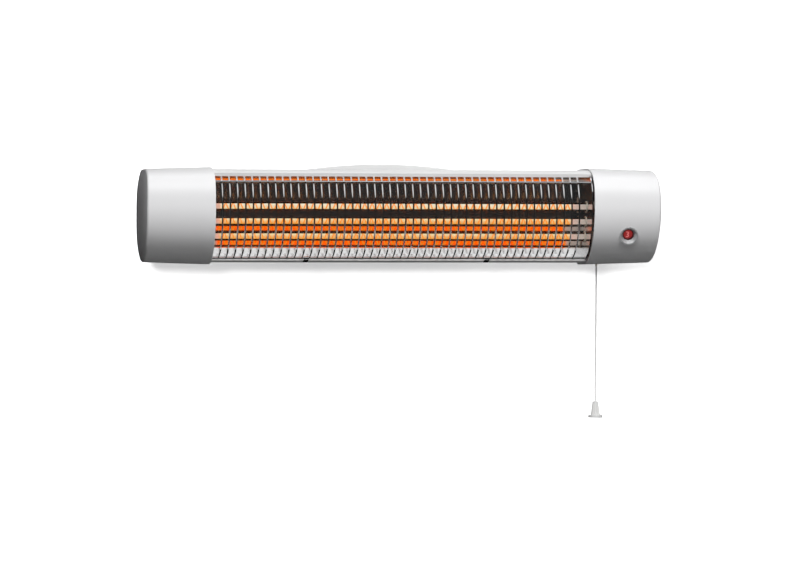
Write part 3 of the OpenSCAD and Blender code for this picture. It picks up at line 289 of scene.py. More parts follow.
# %% [markdown]
# ## Rolled, drawn and plated metals
# A metal's colour is its reflection, so its finish is all in how it blurs light. Rolling leaves fine lines
# along the sheet, drawing leaves them along a wire, and plating adds faint clouds. The lines are noise,
# stretched along X, in the direction in which these sheets and rods were worked.

# %% Metals
def worked_metal(name, dark, light, roughness, line=0.5 * MM, depth=0.004 * MM, stretch=(0.02, 1, 1),
                 cloud=20 * MM, metallic=1.0):
    """Metal with working lines along X and faint clouds in its plating."""
    material, tree, point = blank_material(name)
    lines = speckle(tree, point, line, stretch)
    return finish(material, add(tree, "ShaderNodeBsdfPrincipled", inputs={
        "Base Color": tint(tree, speckle(tree, point, cloud), dark, light), "Metallic": metallic,
        "Roughness": spread(tree, lines, roughness * 0.8, roughness * 1.25),
        "Normal": bump(tree, lines, depth)}))


finishes.update({
    # Zinc plate on screws and brackets: blue-white, slightly dull, with a crystalline cloudiness
    "zinc_steel": worked_metal("zinc_plated_steel", "#A9ACB0", "#C6C8CA", 0.34, cloud=3 * MM,
                               stretch=(1, 1, 1)),
    # Patented spring wire: darker than zinc, with drawing lines
    "spring_steel": worked_metal("drawn_spring_wire", "#8C8C8E", "#A2A2A4", 0.3),
    # Bright rolled steel of the end plates and clips: a clear but softened mirror
    "bright_steel": worked_metal("bright_rolled_steel", "#C2C2C3", "#D6D6D7", 0.16, stretch=(1, 1, 0.03)),
    # Mirror-rolled aluminium of the reflector: long sharp reflections, blurred only across the roll
    "polished_aluminium": worked_metal("mirror_rolled_aluminium", "#DADADB", "#E6E6E6", 0.1, 0.8 * MM,
                                       0.002 * MM),
    # Chromium plate on the wires: hard black and white reflections
    "chromed_wire": worked_metal("chromium_plated_wire", "#CFD0D2", "#DCDDDE", 0.07, 0.6 * MM, 0.001 * MM),
    # Satin plating on the window's ring: it scatters part of its light, so that it shows grey, not black
    "chromed_bezel": worked_metal("chromium_plated_ring", "#D0D1D3", "#DEDFE0", 0.3, 0.4 * MM, 0.002 * MM,
                                  stretch=(1, 1, 1), metallic=0.55),
    # Nickel-plated brass of terminals and pins: warm pale gold
    "nickel_brass": worked_metal("nickel_plated_brass", "#B9A676", "#CDBB8C", 0.26, stretch=(1, 1, 1)),
})
print("Materials so far:", len(finishes))

# %% [markdown]
# ## Lacquer and powder coat
# The caps are moulded and then sprayed with a satin silver-white lacquer, so they look like pale metal
# with no sparkle. The housing and the bracket are steel sheet under a powder coat, whose skin has the
# faint orange-peel waves that the powder leaves as it flows.

# %% Coatings
GRAIN_SHARE = 0.15


def coating(name, dark, light, roughness, wave, wave_depth, coat=0.0):
    """Sprayed or powdered skin with soft waves and a fine grain."""
    material, tree, point = blank_material(name)
    waves = speckle(tree, point, wave, detail=1.0)
    grain = speckle(tree, point, 0.35 * MM)
    height = maths(tree, "ADD", maths(tree, "MULTIPLY", grain, GRAIN_SHARE), waves)
    return finish(material, add(tree, "ShaderNodeBsdfPrincipled", inputs={
        "Base Color": tint(tree, speckle(tree, point, 60 * MM), dark, light),
        "Roughness": spread(tree, grain, roughness - 0.04, roughness + 0.04),
        "Coat Weight": coat, "Coat Roughness": 0.22,
        "Normal": bump(tree, height, wave_depth)}))


finishes.update({
    # Lacquer on the caps: even silver-white, satin, with a thin clear film
    "silver_moulding": coating("silver_white_lacquer", "#DFDFE0", "#E6E6E7", 0.42, 1.5 * MM, 0.004 * MM,
                               0.15),
    # Powder coat on the housing: nearly white, satin, with orange peel
    "coated_housing": coating("white_powder_coat", "#E2E2E2", "#E9E9E9", 0.4, 2.5 * MM, 0.012 * MM),
    # Powder coat on the bracket: a touch greyer
    "coated_bracket": coating("grey_white_powder_coat", "#DADADA", "#E2E2E2", 0.45, 2.5 * MM, 0.014 * MM),
})

# %% [markdown]
# ## Quartz and glowing wire
# The tubes are quartz glass, and the far side of each bore glows with the coil's light, so that the turns
# show as orange arcs in front of a pale, hot haze. The haze ends where the coil ends, and there the glass
# is milky, where it was drawn in, and glows faintly with painted light. The mesh says with an attribute
# which faces are the bore. The glow's colour is painted by the way the bore faces: a painted highlight
# makes it pale where the bore looks up and to the front, and a painted reflection of the mirror behind it
# makes it deep orange and brighter there.

# %% Quartz
COIL_HALF_LENGTH = 211 * MM
COLD_FADE = 3 * MM
SIDE_BLEND = 0.8
MIRROR_BLEND = 0.1
PAINTED_MIRROR_GLOW = 1.8
MILK_SHARE = 0.75
MILK_PAINTED_GLOW = 0.35


def glow_window(tree, point):
    """One where the coil glows and zero in the cold ends."""
    along = add(tree, "ShaderNodeSeparateXYZ", inputs={0: point}).outputs["X"]
    distance = add(tree, "ShaderNodeMath", {"operation": "ABSOLUTE"}, {0: along})
    return mapped(tree, distance, COIL_HALF_LENGTH, COIL_HALF_LENGTH + COLD_FADE, 1.0, 0.0)


def quartz(name, low, high, rear):
    """Quartz glass whose bore glows, pale above and warmer below by a painted highlight, deeper to the rear
    by a painted reflection.
    """
    material, tree, point = blank_material(name)
    facing = add(tree, "ShaderNodeSeparateXYZ", inputs={0: add(tree, "ShaderNodeTexCoord").outputs["Normal"]})
    # Painted highlight: the glow is tinted pale where the bore looks up and warmer where it looks down
    rise = mapped(tree, facing.outputs["Z"], SIDE_BLEND, -SIDE_BLEND)
    # Painted reflection of the mirror: where the bore faces the mirror the glow is deep orange and stronger
    to_front = mapped(tree, facing.outputs["Y"], MIRROR_BLEND, -MIRROR_BLEND)
    hue = add(tree, "ShaderNodeMix", {"data_type": "RGBA"},
              {0: to_front, 6: colour(rear), 7: tint(tree, rise, low, high)})
    haze = spread(tree, speckle(tree, point, 4 * MM, (0.3, 1, 1)), 0.95, 1.1)
    painted_mirror_glow = mapped(tree, to_front, 0.0, 1.0, PAINTED_MIRROR_GLOW, 1.0)
    light = add(tree, "ShaderNodeEmission", inputs={"Color": hue.outputs[2],
                                                    "Strength": maths(tree, "MULTIPLY", haze, painted_mirror_glow)})
    clear = add(tree, "ShaderNodeBsdfTransparent", inputs={"Color": colour("#F6F6F4")})
    # Painted glow: the milky cold ends give off a faint light of their own
    milk = add(tree, "ShaderNodeBsdfPrincipled", inputs={
        "Base Color": colour("#E4E4E4"), "Roughness": 0.8, "Emission Color": colour("#D8D4D0"),
        "Emission Strength": MILK_PAINTED_GLOW})
    cold = blend(tree, MILK_SHARE, clear, milk)
    bore = add(tree, "ShaderNodeAttribute", {"attribute_name": "bore"}).outputs["Fac"]
    away = add(tree, "ShaderNodeNewGeometry").outputs["Backfacing"]
    far_side = add(tree, "ShaderNodeMath", {"operation": "SUBTRACT", "use_clamp": True}, {0: bore, 1: away})
    lit = blend(tree, glow_window(tree, point), cold, light)
    glass = blend(tree, far_side, clear, lit)
    skin = add(tree, "ShaderNodeBsdfGlossy", inputs={"Roughness": 0.05, "Color": colour("#F2F2F2")})
    return finish(material, blend(tree, add(tree, "ShaderNodeFresnel", inputs={"IOR": 1.46}), glass, skin))


# The upper tube shows the hottest glow, almost white, and the lower two a warmer one
upper_quartz = quartz("quartz_glass_white_hot", "#FFE7B0", "#FFF8E6", "#FF6A10")
finishes["quartz"] = quartz("quartz_glass_amber_hot", "#FFA530", "#FFF3C4", "#FF5A00")

# %% Glowing wire
def glowing(name, hot, hotter, brightness):
    """Resistance wire that glows, a little unevenly."""
    material, tree, point = blank_material(name)
    drift = speckle(tree, point, 9 * MM)
    strength = maths(tree, "MULTIPLY", glow_window(tree, point), brightness)
    light = add(tree, "ShaderNodeEmission", inputs={"Color": tint(tree, drift, hot, hotter),
                                                    "Strength": strength})
    wire = add(tree, "ShaderNodeBsdfPrincipled", inputs={"Base Color": colour("#6A6460"), "Metallic": 1.0,
                                                         "Roughness": 0.45})
    return finish(material, add(tree, "ShaderNodeAddShader", inputs={0: light, 1: wire}))


finishes["glowing_wire"] = glowing("resistance_wire_hot", "#FF8A10", "#FF9E22", 1.05)

# %% [markdown]
# ## Lens, dial and cord
# The red lens is thin tinted plastic, and a little milky. The dial behind it is printed in a dull red, and
# the dial and its pale numerals glow with painted light, the numerals most, as if the small lamp in the
# window lit them. The cord is braided from fine threads, which cross in small diamonds about a millimetre
# long, and painted shade greys the grooves between them.

# %% Lens, dial and cord materials
LENS_MILK = 0.15


def tinted_lens(name, body_tint):
    """Clear moulded plastic with a tint and a glossy face."""
    material, tree, point = blank_material(name)
    clear = add(tree, "ShaderNodeBsdfTransparent", inputs={"Color": colour(body_tint)})
    flow = bump(tree, speckle(tree, point, 2 * MM), 0.004 * MM)
    skin = add(tree, "ShaderNodeBsdfGlossy", inputs={"Roughness": 0.14, "Color": colour("#F4E8E8"),
                                                     "Normal": flow})
    milk = add(tree, "ShaderNodeBsdfDiffuse", inputs={"Color": colour("#A04848")})
    body = blend(tree, LENS_MILK, clear, milk)
    return finish(material, blend(tree, add(tree, "ShaderNodeFresnel", inputs={"IOR": 1.49}), body, skin))


def lit_print(name, dark, light, brightness):
    """Print whose ink glows with painted light, as if the window's small lamp lit it from behind."""
    material, tree, point = blank_material(name)
    grain = speckle(tree, point, 0.3 * MM)
    ink = tint(tree, grain, dark, light)
    return finish(material, add(tree, "ShaderNodeBsdfPrincipled", inputs={
        "Base Color": ink, "Roughness": 0.5, "Emission Color": ink, "Emission Strength": brightness}))


def braid(name, thread):
    """White braid: two sets of threads that cross round the cord, from the cord's own map, with painted shade
    in the grooves.
    """
    material, tree, _ = blank_material(name)
    around = add(tree, "ShaderNodeUVMap", {"uv_map": "braid"})
    sets = []
    for turn in (1, -1):
        turned = add(tree, "ShaderNodeVectorMath", {"operation": "MULTIPLY"}, {0: around, 1: (turn, 1, 0)})
        sets.append(add(tree, "ShaderNodeTexWave", {"bands_direction": "DIAGONAL"}, {
            "Vector": turned, "Scale": 1.0}).outputs["Fac"])
    height = maths(tree, "MAXIMUM", sets[0], sets[1])
    # The same height greys the grooves between the threads: painted shade
    return finish(material, add(tree, "ShaderNodeBsdfPrincipled", inputs={
        "Base Color": tint(tree, height, "#C4C4C4", "#E8E8E8"), "Roughness": 0.7,
        "Sheen Weight": 0.3, "Normal": bump(tree, height, thread / 4)}))


finishes["red_lens"] = tinted_lens("red_acrylic_moulded", "#ECC0C0")
# The dial and the numerals glow with painted light
finishes["printed_dial"] = lit_print("dial_print_red", "#A04A4A", "#AE5656", 1.1)
numeral_print = lit_print("dial_numeral_pale", "#F8DCDC", "#FFECEC", 1.3)
finishes["white_cord"] = braid("white_braided_cord", 0.3 * MM)
print("Materials in all:", len(finishes))

# %% [markdown]
# ## The pull cord
# The photo shows the cord from its guide to its knob, so its length is known. It hangs under its own
# weight, and leans a hair to the left. The route repeats the points that the CAD model was swept along,
# and a tube with a map of its length carries the braid.

# %% Cord
CORD_RADIUS = 0.9 * MM
CORD_SIDES = 16
CORD_OFFSETS = ([(0, 0), (0, -10)] + [(-k / 10, -20 - 10 * k) for k in range(13)]
                + [(-1.2, -152), (-1.2, -163)])
THREAD_STEP = 1.1 * MM
THREADS_ROUND = 4
cord_low, cord_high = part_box("pull_cord")
cord_top = Vector((cord_high.x - CORD_RADIUS, (cord_low.y + cord_high.y) / 2, cord_high.z))
cord_path = [cord_top + Vector((x, 0, z)) * MM for x, z in CORD_OFFSETS]


def cord_mesh(name, path):
    """A closed tube along a path that runs down, with a map in which one unit is one thread of the braid."""
    sides = CORD_SIDES
    ring = [CORD_RADIUS * Vector((math.cos(a), math.sin(a), 0)) for a in round_angles(sides)]
    points = [p + offset for p in path for offset in ring]
    faces = []
    for i in range(len(path) - 1):
        faces += belt(i * sides, (i + 1) * sides, sides)
    faces += [tuple(range(sides)), tuple(reversed(range((len(path) - 1) * sides, len(path) * sides)))]
    mesh = mesh_from(name, points, faces)
    uv = mesh.uv_layers.new(name="braid")
    for face in mesh.polygons:
        for corner in face.loop_indices:
            vertex = mesh.loops[corner].vertex_index
            turn = vertex % sides / sides
            if turn == 0 and max(mesh.loops[c].vertex_index % sides for c in face.loop_indices) == sides - 1:
                turn = 1
            uv.data[corner].uv = (THREADS_ROUND * turn, -mesh.vertices[vertex].co.z / THREAD_STEP)
    return mesh


pull_cord = new_object("braided_pull_cord", cord_mesh("braided_pull_cord", cord_path))
fit_in(pull_cord, "pull_cord", crease_angle=60)

# %% [markdown]
# ## The end caps
# Each cap is one moulded shell. Its section has a straight back with two corners, a flattened arch on top
# and a full round sweep below. It shrinks a little towards a rounded crease, past which the end is gently
# domed, and the rear corners grow rounder on the way. A loft says this best: rings of the same outline,
# each with a distance from the rim, an inset and a share of the size, run from the outer pole round the
# rim to the inner pole.

# %% Section of the heater
SWEEP_RADIUS = 69.5 * MM
ROOF_HEIGHT = 46.2 * MM
BACK_DEPTH = 51 * MM
CORNER_RADIUS = 12 * MM
SECTION_CENTRE = Vector((-116 * MM, 12 * MM))
ROOF_POWER = 3
CORNER_STEPS = 8
BACK_STEPS = 12
CURVE_STEPS = 40
back_y = SECTION_CENTRE.x + BACK_DEPTH
top_z = SECTION_CENTRE.y + ROOF_HEIGHT
bottom_z = SECTION_CENTRE.y - SWEEP_RADIUS
middle = Vector((back_y - (SWEEP_RADIUS + BACK_DEPTH) / 2, (top_z + bottom_z) / 2))
half_height = (top_z - bottom_z) / 2


def heading(angle):
    """A unit vector in the YZ plane, by its angle from the way into the wall."""
    return Vector((math.cos(angle), math.sin(angle)))


def arc(centre, radius, start, end, steps):
    """Points of an arc about a centre in the YZ plane, in degrees."""
    return [centre + radius * heading(math.radians(start + (end - start) * i / steps))
            for i in range(steps + 1)]


def roof(inset, end, steps):
    """Points of the flattened arch, from straight up to an angle in degrees."""
    points = []
    for i in range(steps + 1):
        a = math.radians(end * i / steps)
        across = (math.sin(a) / (SWEEP_RADIUS - inset)) ** ROOF_POWER
        upward = (math.cos(a) / (ROOF_HEIGHT - inset)) ** ROOF_POWER
        reach = (across + upward) ** (-1 / ROOF_POWER)
        points.append(SECTION_CENTRE + reach * Vector((-math.sin(a), math.cos(a))))
    return points


def section(inset, corner):
    """The closed outline of the heater, drawn in by an inset, with its own radius of the rear corners."""
    low_corner = Vector((back_y - corner, bottom_z + corner))
    high_corner = Vector((back_y - corner, top_z - corner))
    return (arc(low_corner, corner - inset, -90, 0, CORNER_STEPS)
            + [low_corner.lerp(high_corner, k / BACK_STEPS) + Vector((corner - inset, 0))
               for k in range(1, BACK_STEPS)]
            + arc(high_corner, corner - inset, 0, 90, CORNER_STEPS)
            + roof(inset, 90, CURVE_STEPS)[:-1]
            + arc(SECTION_CENTRE, SWEEP_RADIUS - inset, 180, 270, CURVE_STEPS))


# %% Rings of a cap
CAP_LENGTH = 80 * MM
CAP_TAPER = 2.3 * MM
CAP_WALL = 2 * MM
CREASE_BULGE = 1.6 * MM
CREASE_RADIUS = 3 * MM
DOME_RISE = 4 * MM
DOME_POWER = 4
END_CORNER_RADIUS = 32 * MM
CORNER_POWER = 4
RIM_ROUND = 0.9 * MM
INNER_ROUND = 2 * MM
ROUND_STEPS = 6
OUTER_BODY_SHARES = (0.2, 0.4, 0.6, 0.8)
OUTER_END_SHARES = (0.98, 0.95, 0.9, 0.83, 0.72, 0.55, 0.3)
INNER_BODY_SHARES = (0, 0.25, 0.5, 0.75)
INNER_END_SHARES = (0.8, 0.5)
quarter = [math.radians(90 * k / ROUND_STEPS) for k in range(ROUND_STEPS + 1)]
inner_length = CAP_LENGTH - CAP_WALL - INNER_ROUND


def dome(share):
    """How far the end face has risen at a share of its size."""
    return DOME_RISE * (1 - share ** DOME_POWER)


outer_rings = (
    [(RIM_ROUND * (1 - math.sin(a)), RIM_ROUND * (1 - math.cos(a)), 1) for a in reversed(quarter)]
    + [(CAP_LENGTH * s, CAP_TAPER * s, 1) for s in OUTER_BODY_SHARES]
    + [(CAP_LENGTH - CREASE_RADIUS * (1 - math.sin(a)), CAP_TAPER + CREASE_RADIUS * (1 - math.cos(a)), 1)
       for a in quarter]
    + [(CAP_LENGTH + dome(s), CAP_TAPER + CREASE_RADIUS, s) for s in OUTER_END_SHARES])
inner_rings = (
    [(inner_length * s, CAP_WALL + CAP_TAPER * s, 1) for s in INNER_BODY_SHARES]
    + [(inner_length + INNER_ROUND * math.sin(a),
        CAP_TAPER + CAP_WALL + INNER_ROUND * (1 - math.cos(a)), 1) for a in quarter]
    + [(CAP_LENGTH - CAP_WALL + dome(s), CAP_TAPER + CAP_WALL + INNER_ROUND, s) for s in INNER_END_SHARES])


def cap_ring(distance, inset, share):
    """One ring of the loft, drawn towards its middle and bulged outward at mid height."""
    along = min(distance / CAP_LENGTH, 1)
    corner = CORNER_RADIUS + (END_CORNER_RADIUS - CORNER_RADIUS) * along ** CORNER_POWER
    ring = []
    for p in section(inset, corner):
        q = middle + share * (p - middle)
        bulge = CREASE_BULGE * (1 - ((q.y - middle.y) / half_height) ** 2)
        ring.append(Vector((distance + bulge * along, q.x, q.y)))
    return ring


def loft(name, rings, first_pole, last_pole):
    """A closed mesh through rings of equal length, with a pole at each end."""
    count = len(rings[0])
    points = [first_pole] + [p for ring in rings for p in ring] + [last_pole]
    last = len(points) - 1
    faces = [(0, 1 + j, 1 + (j + 1) % count) for j in range(count)]
    for i in range(len(rings) - 1):
        faces += belt(1 + i * count, 1 + (i + 1) * count, count)
    start = 1 + (len(rings) - 1) * count
    faces += [(last, start + (j + 1) % count, start + j) for j in range(count)]
    return mesh_from(name, points, faces)


def cap_mesh(name):
    """The cap's shell with its rim at zero, from the outer pole round the rim to the inner pole."""
    rings = [cap_ring(*r) for r in list(reversed(outer_rings)) + inner_rings]
    outer_pole = Vector((CAP_LENGTH + CREASE_BULGE + DOME_RISE, middle.x, middle.y))
    return loft(name, rings, outer_pole, outer_pole - Vector((CAP_WALL, 0, 0)))


# %% [markdown]
# The caps are drilled after they are lofted, as the real ones are moulded with holes: two screw holes in
# the back of each, and in the right one the window's seat, the cord's guide and the cable's inlet. A
# boolean with a many-sided drill keeps each hole round. Smooth shading stops at edges over 32 degrees.

# %% Drilling and making the caps
DRILL_SIDES = 64
WINDOW_LEAN = math.radians(22)
WINDOW_RADIUS = 11.22 * MM
WINDOW_REACH = 24 * MM
WINDOW_Y = -175.8 * MM
WINDOW_Z = -24 * MM
GUIDE_HOLE = 4.02 * MM
GROMMET_HOLE = 7 * MM
SCREW_HOLE = 1.6 * MM
SCREW_RISE = 35 * MM
SCREW_REACH = 4.75 * MM
DRILL_REACH = 10 * MM


def drill(start, end, radius):
    """A many-sided rod between two points, for cutting a hole."""
    axis = end - start
    tool = bmesh.new()
    turn = axis.to_track_quat("Z", "Y").to_matrix().to_4x4()
    place = Matrix.Translation((start + end) / 2) @ turn
    bmesh.ops.create_cone(tool, cap_ends=True, segments=DRILL_SIDES, radius1=radius, radius2=radius,
                          depth=axis.length, matrix=place)
    mesh = bpy.data.meshes.new("drill")
    tool.to_mesh(mesh)
    tool.free()
    return new_object("drill", mesh)


def drilled(piece, holes):
    """Cuts holes, given as start, end and radius, out of a piece."""
    tools = [drill(*hole) for hole in holes]
    for tool in tools:
        cut = piece.modifiers.new("hole", "BOOLEAN")
        cut.operation = "DIFFERENCE"
        cut.solver = "EXACT"
        cut.object = tool
    settle(piece)
    for tool in tools:
        bpy.data.objects.remove(tool)


def node_middle(name):
    """Middle of a CAD node's box."""
    low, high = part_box(name)
    return (low + high) / 2


def screw_holes(x):
    """The two holes in a cap's back, where its screws are."""
    span = Vector((0, DRILL_REACH, 0))
    places = [Vector((x, back_y, side * SCREW_RISE)) for side in (-1, 1)]
    return [(p - span, p + span, SCREW_HOLE) for p in places]


window_axis = Vector((0, math.cos(WINDOW_LEAN), math.sin(WINDOW_LEAN)))
bezel_low, bezel_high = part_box("window_bezel")
window_centre = Vector(((bezel_low.x + bezel_high.x) / 2, WINDOW_Y, WINDOW_Z))
guide = node_middle("cord_guide")
grommet = node_middle("cable_grommet")
left_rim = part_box("left_end_cap")[1].x
right_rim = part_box("right_end_cap")[0].x

left_cap = new_object("left_cap_shell", cap_mesh("left_cap_shell"))
left_cap.data.transform(Matrix.Translation((left_rim, 0, 0)) @ Matrix.Scale(-1, 4, (1, 0, 0)))
left_cap.data.flip_normals()
right_cap = new_object("right_cap_shell", cap_mesh("right_cap_shell"))
right_cap.data.transform(Matrix.Translation((right_rim, 0, 0)))
window_hole = (window_centre - WINDOW_REACH * window_axis,
               window_centre + WINDOW_REACH * window_axis, WINDOW_RADIUS)
guide_hole = (Vector((guide.x, guide.y, bottom_z - 2 * CAP_WALL)),
              Vector((guide.x, guide.y, bottom_z + 4 * CAP_WALL)), GUIDE_HOLE)
grommet_hole = (Vector((grommet.x, back_y - 4 * CAP_WALL, grommet.z)),
                Vector((grommet.x, back_y + CAP_WALL, grommet.z)), GROMMET_HOLE)
drilled(left_cap, screw_holes(left_rim - SCREW_REACH))
drilled(right_cap, screw_holes(right_rim + SCREW_REACH) + [window_hole, guide_hole, grommet_hole])
for cap, replaced in ((left_cap, "left_end_cap"), (right_cap, "right_end_cap")):
    fit_in(cap, replaced)

# %% [markdown]
# ## The housing
# The housing is one steel sheet, folded round the same outline just inside the caps and turned in at both
# edges of its mouth. A ribbon of points with an even thickness, carried along X, makes it with the true
# sheet thickness at every fold.

# %% Housing shell
SHELL_SHEET = 1.2 * MM
SHELL_MIDDLE = 2.35 * MM + SHELL_SHEET / 2
LIP_DEPTH = 3.2 * MM
TOP_REACH = 46 * MM
BOTTOM_REACH = 15 * MM
TOP_FOLD = math.radians(-76)
BOTTOM_FOLD = math.radians(84)
SHELL_SWEEP_STEPS = 10
SHELL_ROOF_STEPS = 30


def ribbon(line, thickness):
    """The closed outline of a sheet about its middle line, in the YZ plane."""
    sides = []
    for i, p in enumerate(line):
        before, after = line[max(i - 1, 0)], line[min(i + 1, len(line) - 1)]
        first = (p - before).normalized() if i else (after - p).normalized()
        second = (after - p).normalized() if i < len(line) - 1 else first
        side = Vector((-(first.y + second.y), first.x + second.x)) / (1 + first.dot(second))
        sides.append(side * thickness / 2)
    return [p + s for p, s in zip(line, sides)] + [p - s for p, s in reversed(list(zip(line, sides)))]


def extrude_x(name, outline, x0, x1):
    """A closed mesh of a YZ outline carried along X, with its normals pointing outwards."""
    count = len(outline)
    points = [Vector((x, p.x, p.y)) for x in (x0, x1) for p in outline]
    faces = [(j, (j + 1) % count, count + (j + 1) % count, count + j) for j in range(count)]
    half = count // 2
    for base in (0, count):
        faces += [(base + j, base + j + 1, base + count - 2 - j, base + count - 1 - j)
                  for j in range(half - 1)]
    mesh = mesh_from(name, points, faces)
    tool = bmesh.new()
    tool.from_mesh(mesh)
    bmesh.ops.recalc_face_normals(tool, faces=tool.faces)
    tool.to_mesh(mesh)
    tool.free()
    return mesh


shell_sweep, shell_roof = SWEEP_RADIUS - SHELL_MIDDLE, ROOF_HEIGHT - SHELL_MIDDLE
shell_corner = CORNER_RADIUS - SHELL_MIDDLE
bottom_start = 270 - math.degrees(math.asin(BOTTOM_REACH / shell_sweep))
lip_height = shell_roof * (1 - (TOP_REACH / shell_sweep) ** ROOF_POWER) ** (1 / ROOF_POWER)
roof_end = math.degrees(math.atan2(TOP_REACH, lip_height))
corner_y = back_y - CORNER_RADIUS
shell_curve = (arc(SECTION_CENTRE, shell_sweep, bottom_start, 270, SHELL_SWEEP_STEPS)
               + arc(Vector((corner_y, bottom_z + CORNER_RADIUS)), shell_corner, -90, 0, CORNER_STEPS)
               + arc(Vector((corner_y, top_z - CORNER_RADIUS)), shell_corner, 0, 90, CORNER_STEPS)
               + roof(SHELL_MIDDLE, roof_end, SHELL_ROOF_STEPS))
shell_line = ([shell_curve[0] + LIP_DEPTH * heading(BOTTOM_FOLD)] + shell_curve
              + [shell_curve[-1] + LIP_DEPTH * heading(TOP_FOLD)])
shell_low, shell_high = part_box("housing_shell")
housing = new_object("folded_housing", extrude_x("folded_housing", ribbon(shell_line, SHELL_SHEET),
                                                 shell_low.x, shell_high.x))
fit_in(housing, "housing_shell")

# %% [markdown]
# ## The reflector
# Behind the tubes lies a mirror of thin rolled aluminium. Its bends make the bands that the photo shows:
# upright stretches mirror the dark room, the lean below a tube mirrors that tube, and the short steps at
# the bottom catch the light from above. The points are shares of the sweep's radius and the roof's height.

# %% Reflector
REFLECTOR_SHARES = [
    (0.625, 0.762), (0.176, 0.762), (0.121, 0.738), (0.096, 0.71), (0.08, 0.667), (0.061, 0.578),
    (0.034, 0.4), (0.019, 0.222), (0.015, 0.133), (0.015, -0.347), (0.032, -0.444), (0.032, -0.597),
    (0.06, -0.707), (0.169, -0.725), (0.197, -0.821), (0.223, -0.873)]
REFLECTOR_SHEET = 0.6 * MM
mirror_line = []
for reach, rise in REFLECTOR_SHARES:
    height = ROOF_HEIGHT if rise > 0 else SWEEP_RADIUS
    mirror_line.append(SECTION_CENTRE + Vector((-reach * SWEEP_RADIUS, rise * height)))
mirror_low, mirror_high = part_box("reflector")
reflector = new_object("bent_reflector", extrude_x("bent_reflector", ribbon(mirror_line, REFLECTOR_SHEET),
                                                   mirror_low.x, mirror_high.x))
fit_in(reflector, "reflector", crease_angle=5)

# %% [markdown]
# ## The guard wires
# Forty-eight equal wires stand across the mouth. Geometry Nodes suit them: one arc is swept with a round
# profile, and instances of it stand at even steps along a line. The tree's inputs are the real sizes.

# %% Tools for Geometry Nodes
def geometry_tree(name, sizes):
    """A geometry tree with one output and named number inputs, given with their kinds."""
    tree = bpy.data.node_groups.new(name, "GeometryNodeTree")
    tree.interface.new_socket("Geometry", in_out="OUTPUT", socket_type="NodeSocketGeometry")
    for label, kind in sizes.items():
        tree.interface.new_socket(label, in_out="INPUT", socket_type="NodeSocket" + kind)
    inputs = add(tree, "NodeGroupInput")
    return tree, inputs.outputs


def sweep_wire(tree, curve, radius, sides):
    """Sweeps a round profile along a curve, with closed ends."""
    profile = add(tree, "GeometryNodeCurvePrimitiveCircle", inputs={"Resolution": sides, "Radius": radius})
    return add(tree, "GeometryNodeCurveToMesh", inputs={
        "Curve": curve, "Profile Curve": profile, "Fill Caps": True})


def grow(name, tree, material, geometry, values):
    """Ends a tree with its material and real copies, sets its inputs, and returns the plain mesh piece."""
    painted = add(tree, "GeometryNodeSetMaterial", inputs={"Geometry": geometry, "Material": material})
    real = add(tree, "GeometryNodeRealizeInstances", inputs={"Geometry": painted})
    add(tree, "NodeGroupOutput", inputs={"Geometry": real})
    piece = new_object(name, bpy.data.meshes.new(name))
    maker = piece.modifiers.new("maker", "NODES")
    maker.node_group = tree
    for item in tree.interface.items_tree:
        if item.in_out == "INPUT" and item.name in values:
            maker[item.identifier] = values[item.name]
    return settle(piece)


# %% Guard wires
WIRE_COUNT = 48
WIRE_RADIUS = 1 * MM
WIRE_SIDES = 14
ARC_STEPS = 64
ARC_CENTRE = Vector((-123.6 * MM, 6.4 * MM))
ARC_RADIUS = 56.4 * MM
ARC_ABOVE = math.radians(45)
ARC_BELOW = math.radians(79)
wire_low, wire_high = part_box("grille_wires")

tree, sizes = geometry_tree("guard_wires", {"Count": "Int", "Span": "Float", "Arc Radius": "Float",
                                            "Wire Radius": "Float"})
bow = add(tree, "GeometryNodeCurveArc", inputs={"Resolution": ARC_STEPS, "Radius": sizes["Arc Radius"],
                                                "Start Angle": math.pi - ARC_ABOVE,
                                                "Sweep Angle": ARC_ABOVE + ARC_BELOW})
wire = sweep_wire(tree, bow, sizes["Wire Radius"], WIRE_SIDES)
upright = add(tree, "GeometryNodeTransform", inputs={"Geometry": wire,
                                                     "Rotation": (math.pi / 2, 0, math.pi / 2)})
start, end = (add(tree, "ShaderNodeCombineXYZ", inputs={0: maths(tree, "MULTIPLY", sizes["Span"], share),
                                                        1: ARC_CENTRE.x, 2: ARC_CENTRE.y})
              for share in (-0.5, 0.5))
row = add(tree, "GeometryNodeMeshLine", {"mode": "END_POINTS"}, {"Count": sizes["Count"], 2: start, 3: end})
copies = add(tree, "GeometryNodeInstanceOnPoints", inputs={"Points": row, "Instance": upright})
guard = grow("guard_wires", tree, finishes["chromed_wire"], copies, {
    "Count": WIRE_COUNT, "Span": wire_high.x - wire_low.x - 2 * WIRE_RADIUS, "Arc Radius": ARC_RADIUS,
    "Wire Radius": WIRE_RADIUS})
fit_in(guard, "grille_wires", crease_angle=50)

# %% [markdown]
# ## The quartz tubes
# Each tube is turned from one outline: out along its skin and back along its bore. The third belt of faces
# is the bore, and it carries a value of one, which tells the glass where to glow. Seen through a real tube,
# whose wall is 1 mm, the bore looks nearly as wide as the tube. This glass doesn't bend light, so its wall
# is thin and its coil is wide, and the glow is as wide as in the photo.

# %% Quartz tubes
TUBES = ("upper", "middle", "lower")
TUBE_RADIUS = 5 * MM
TUBE_WALL = 0.3 * MM
TUBE_SIDES = 40
BORE_BELT = 2


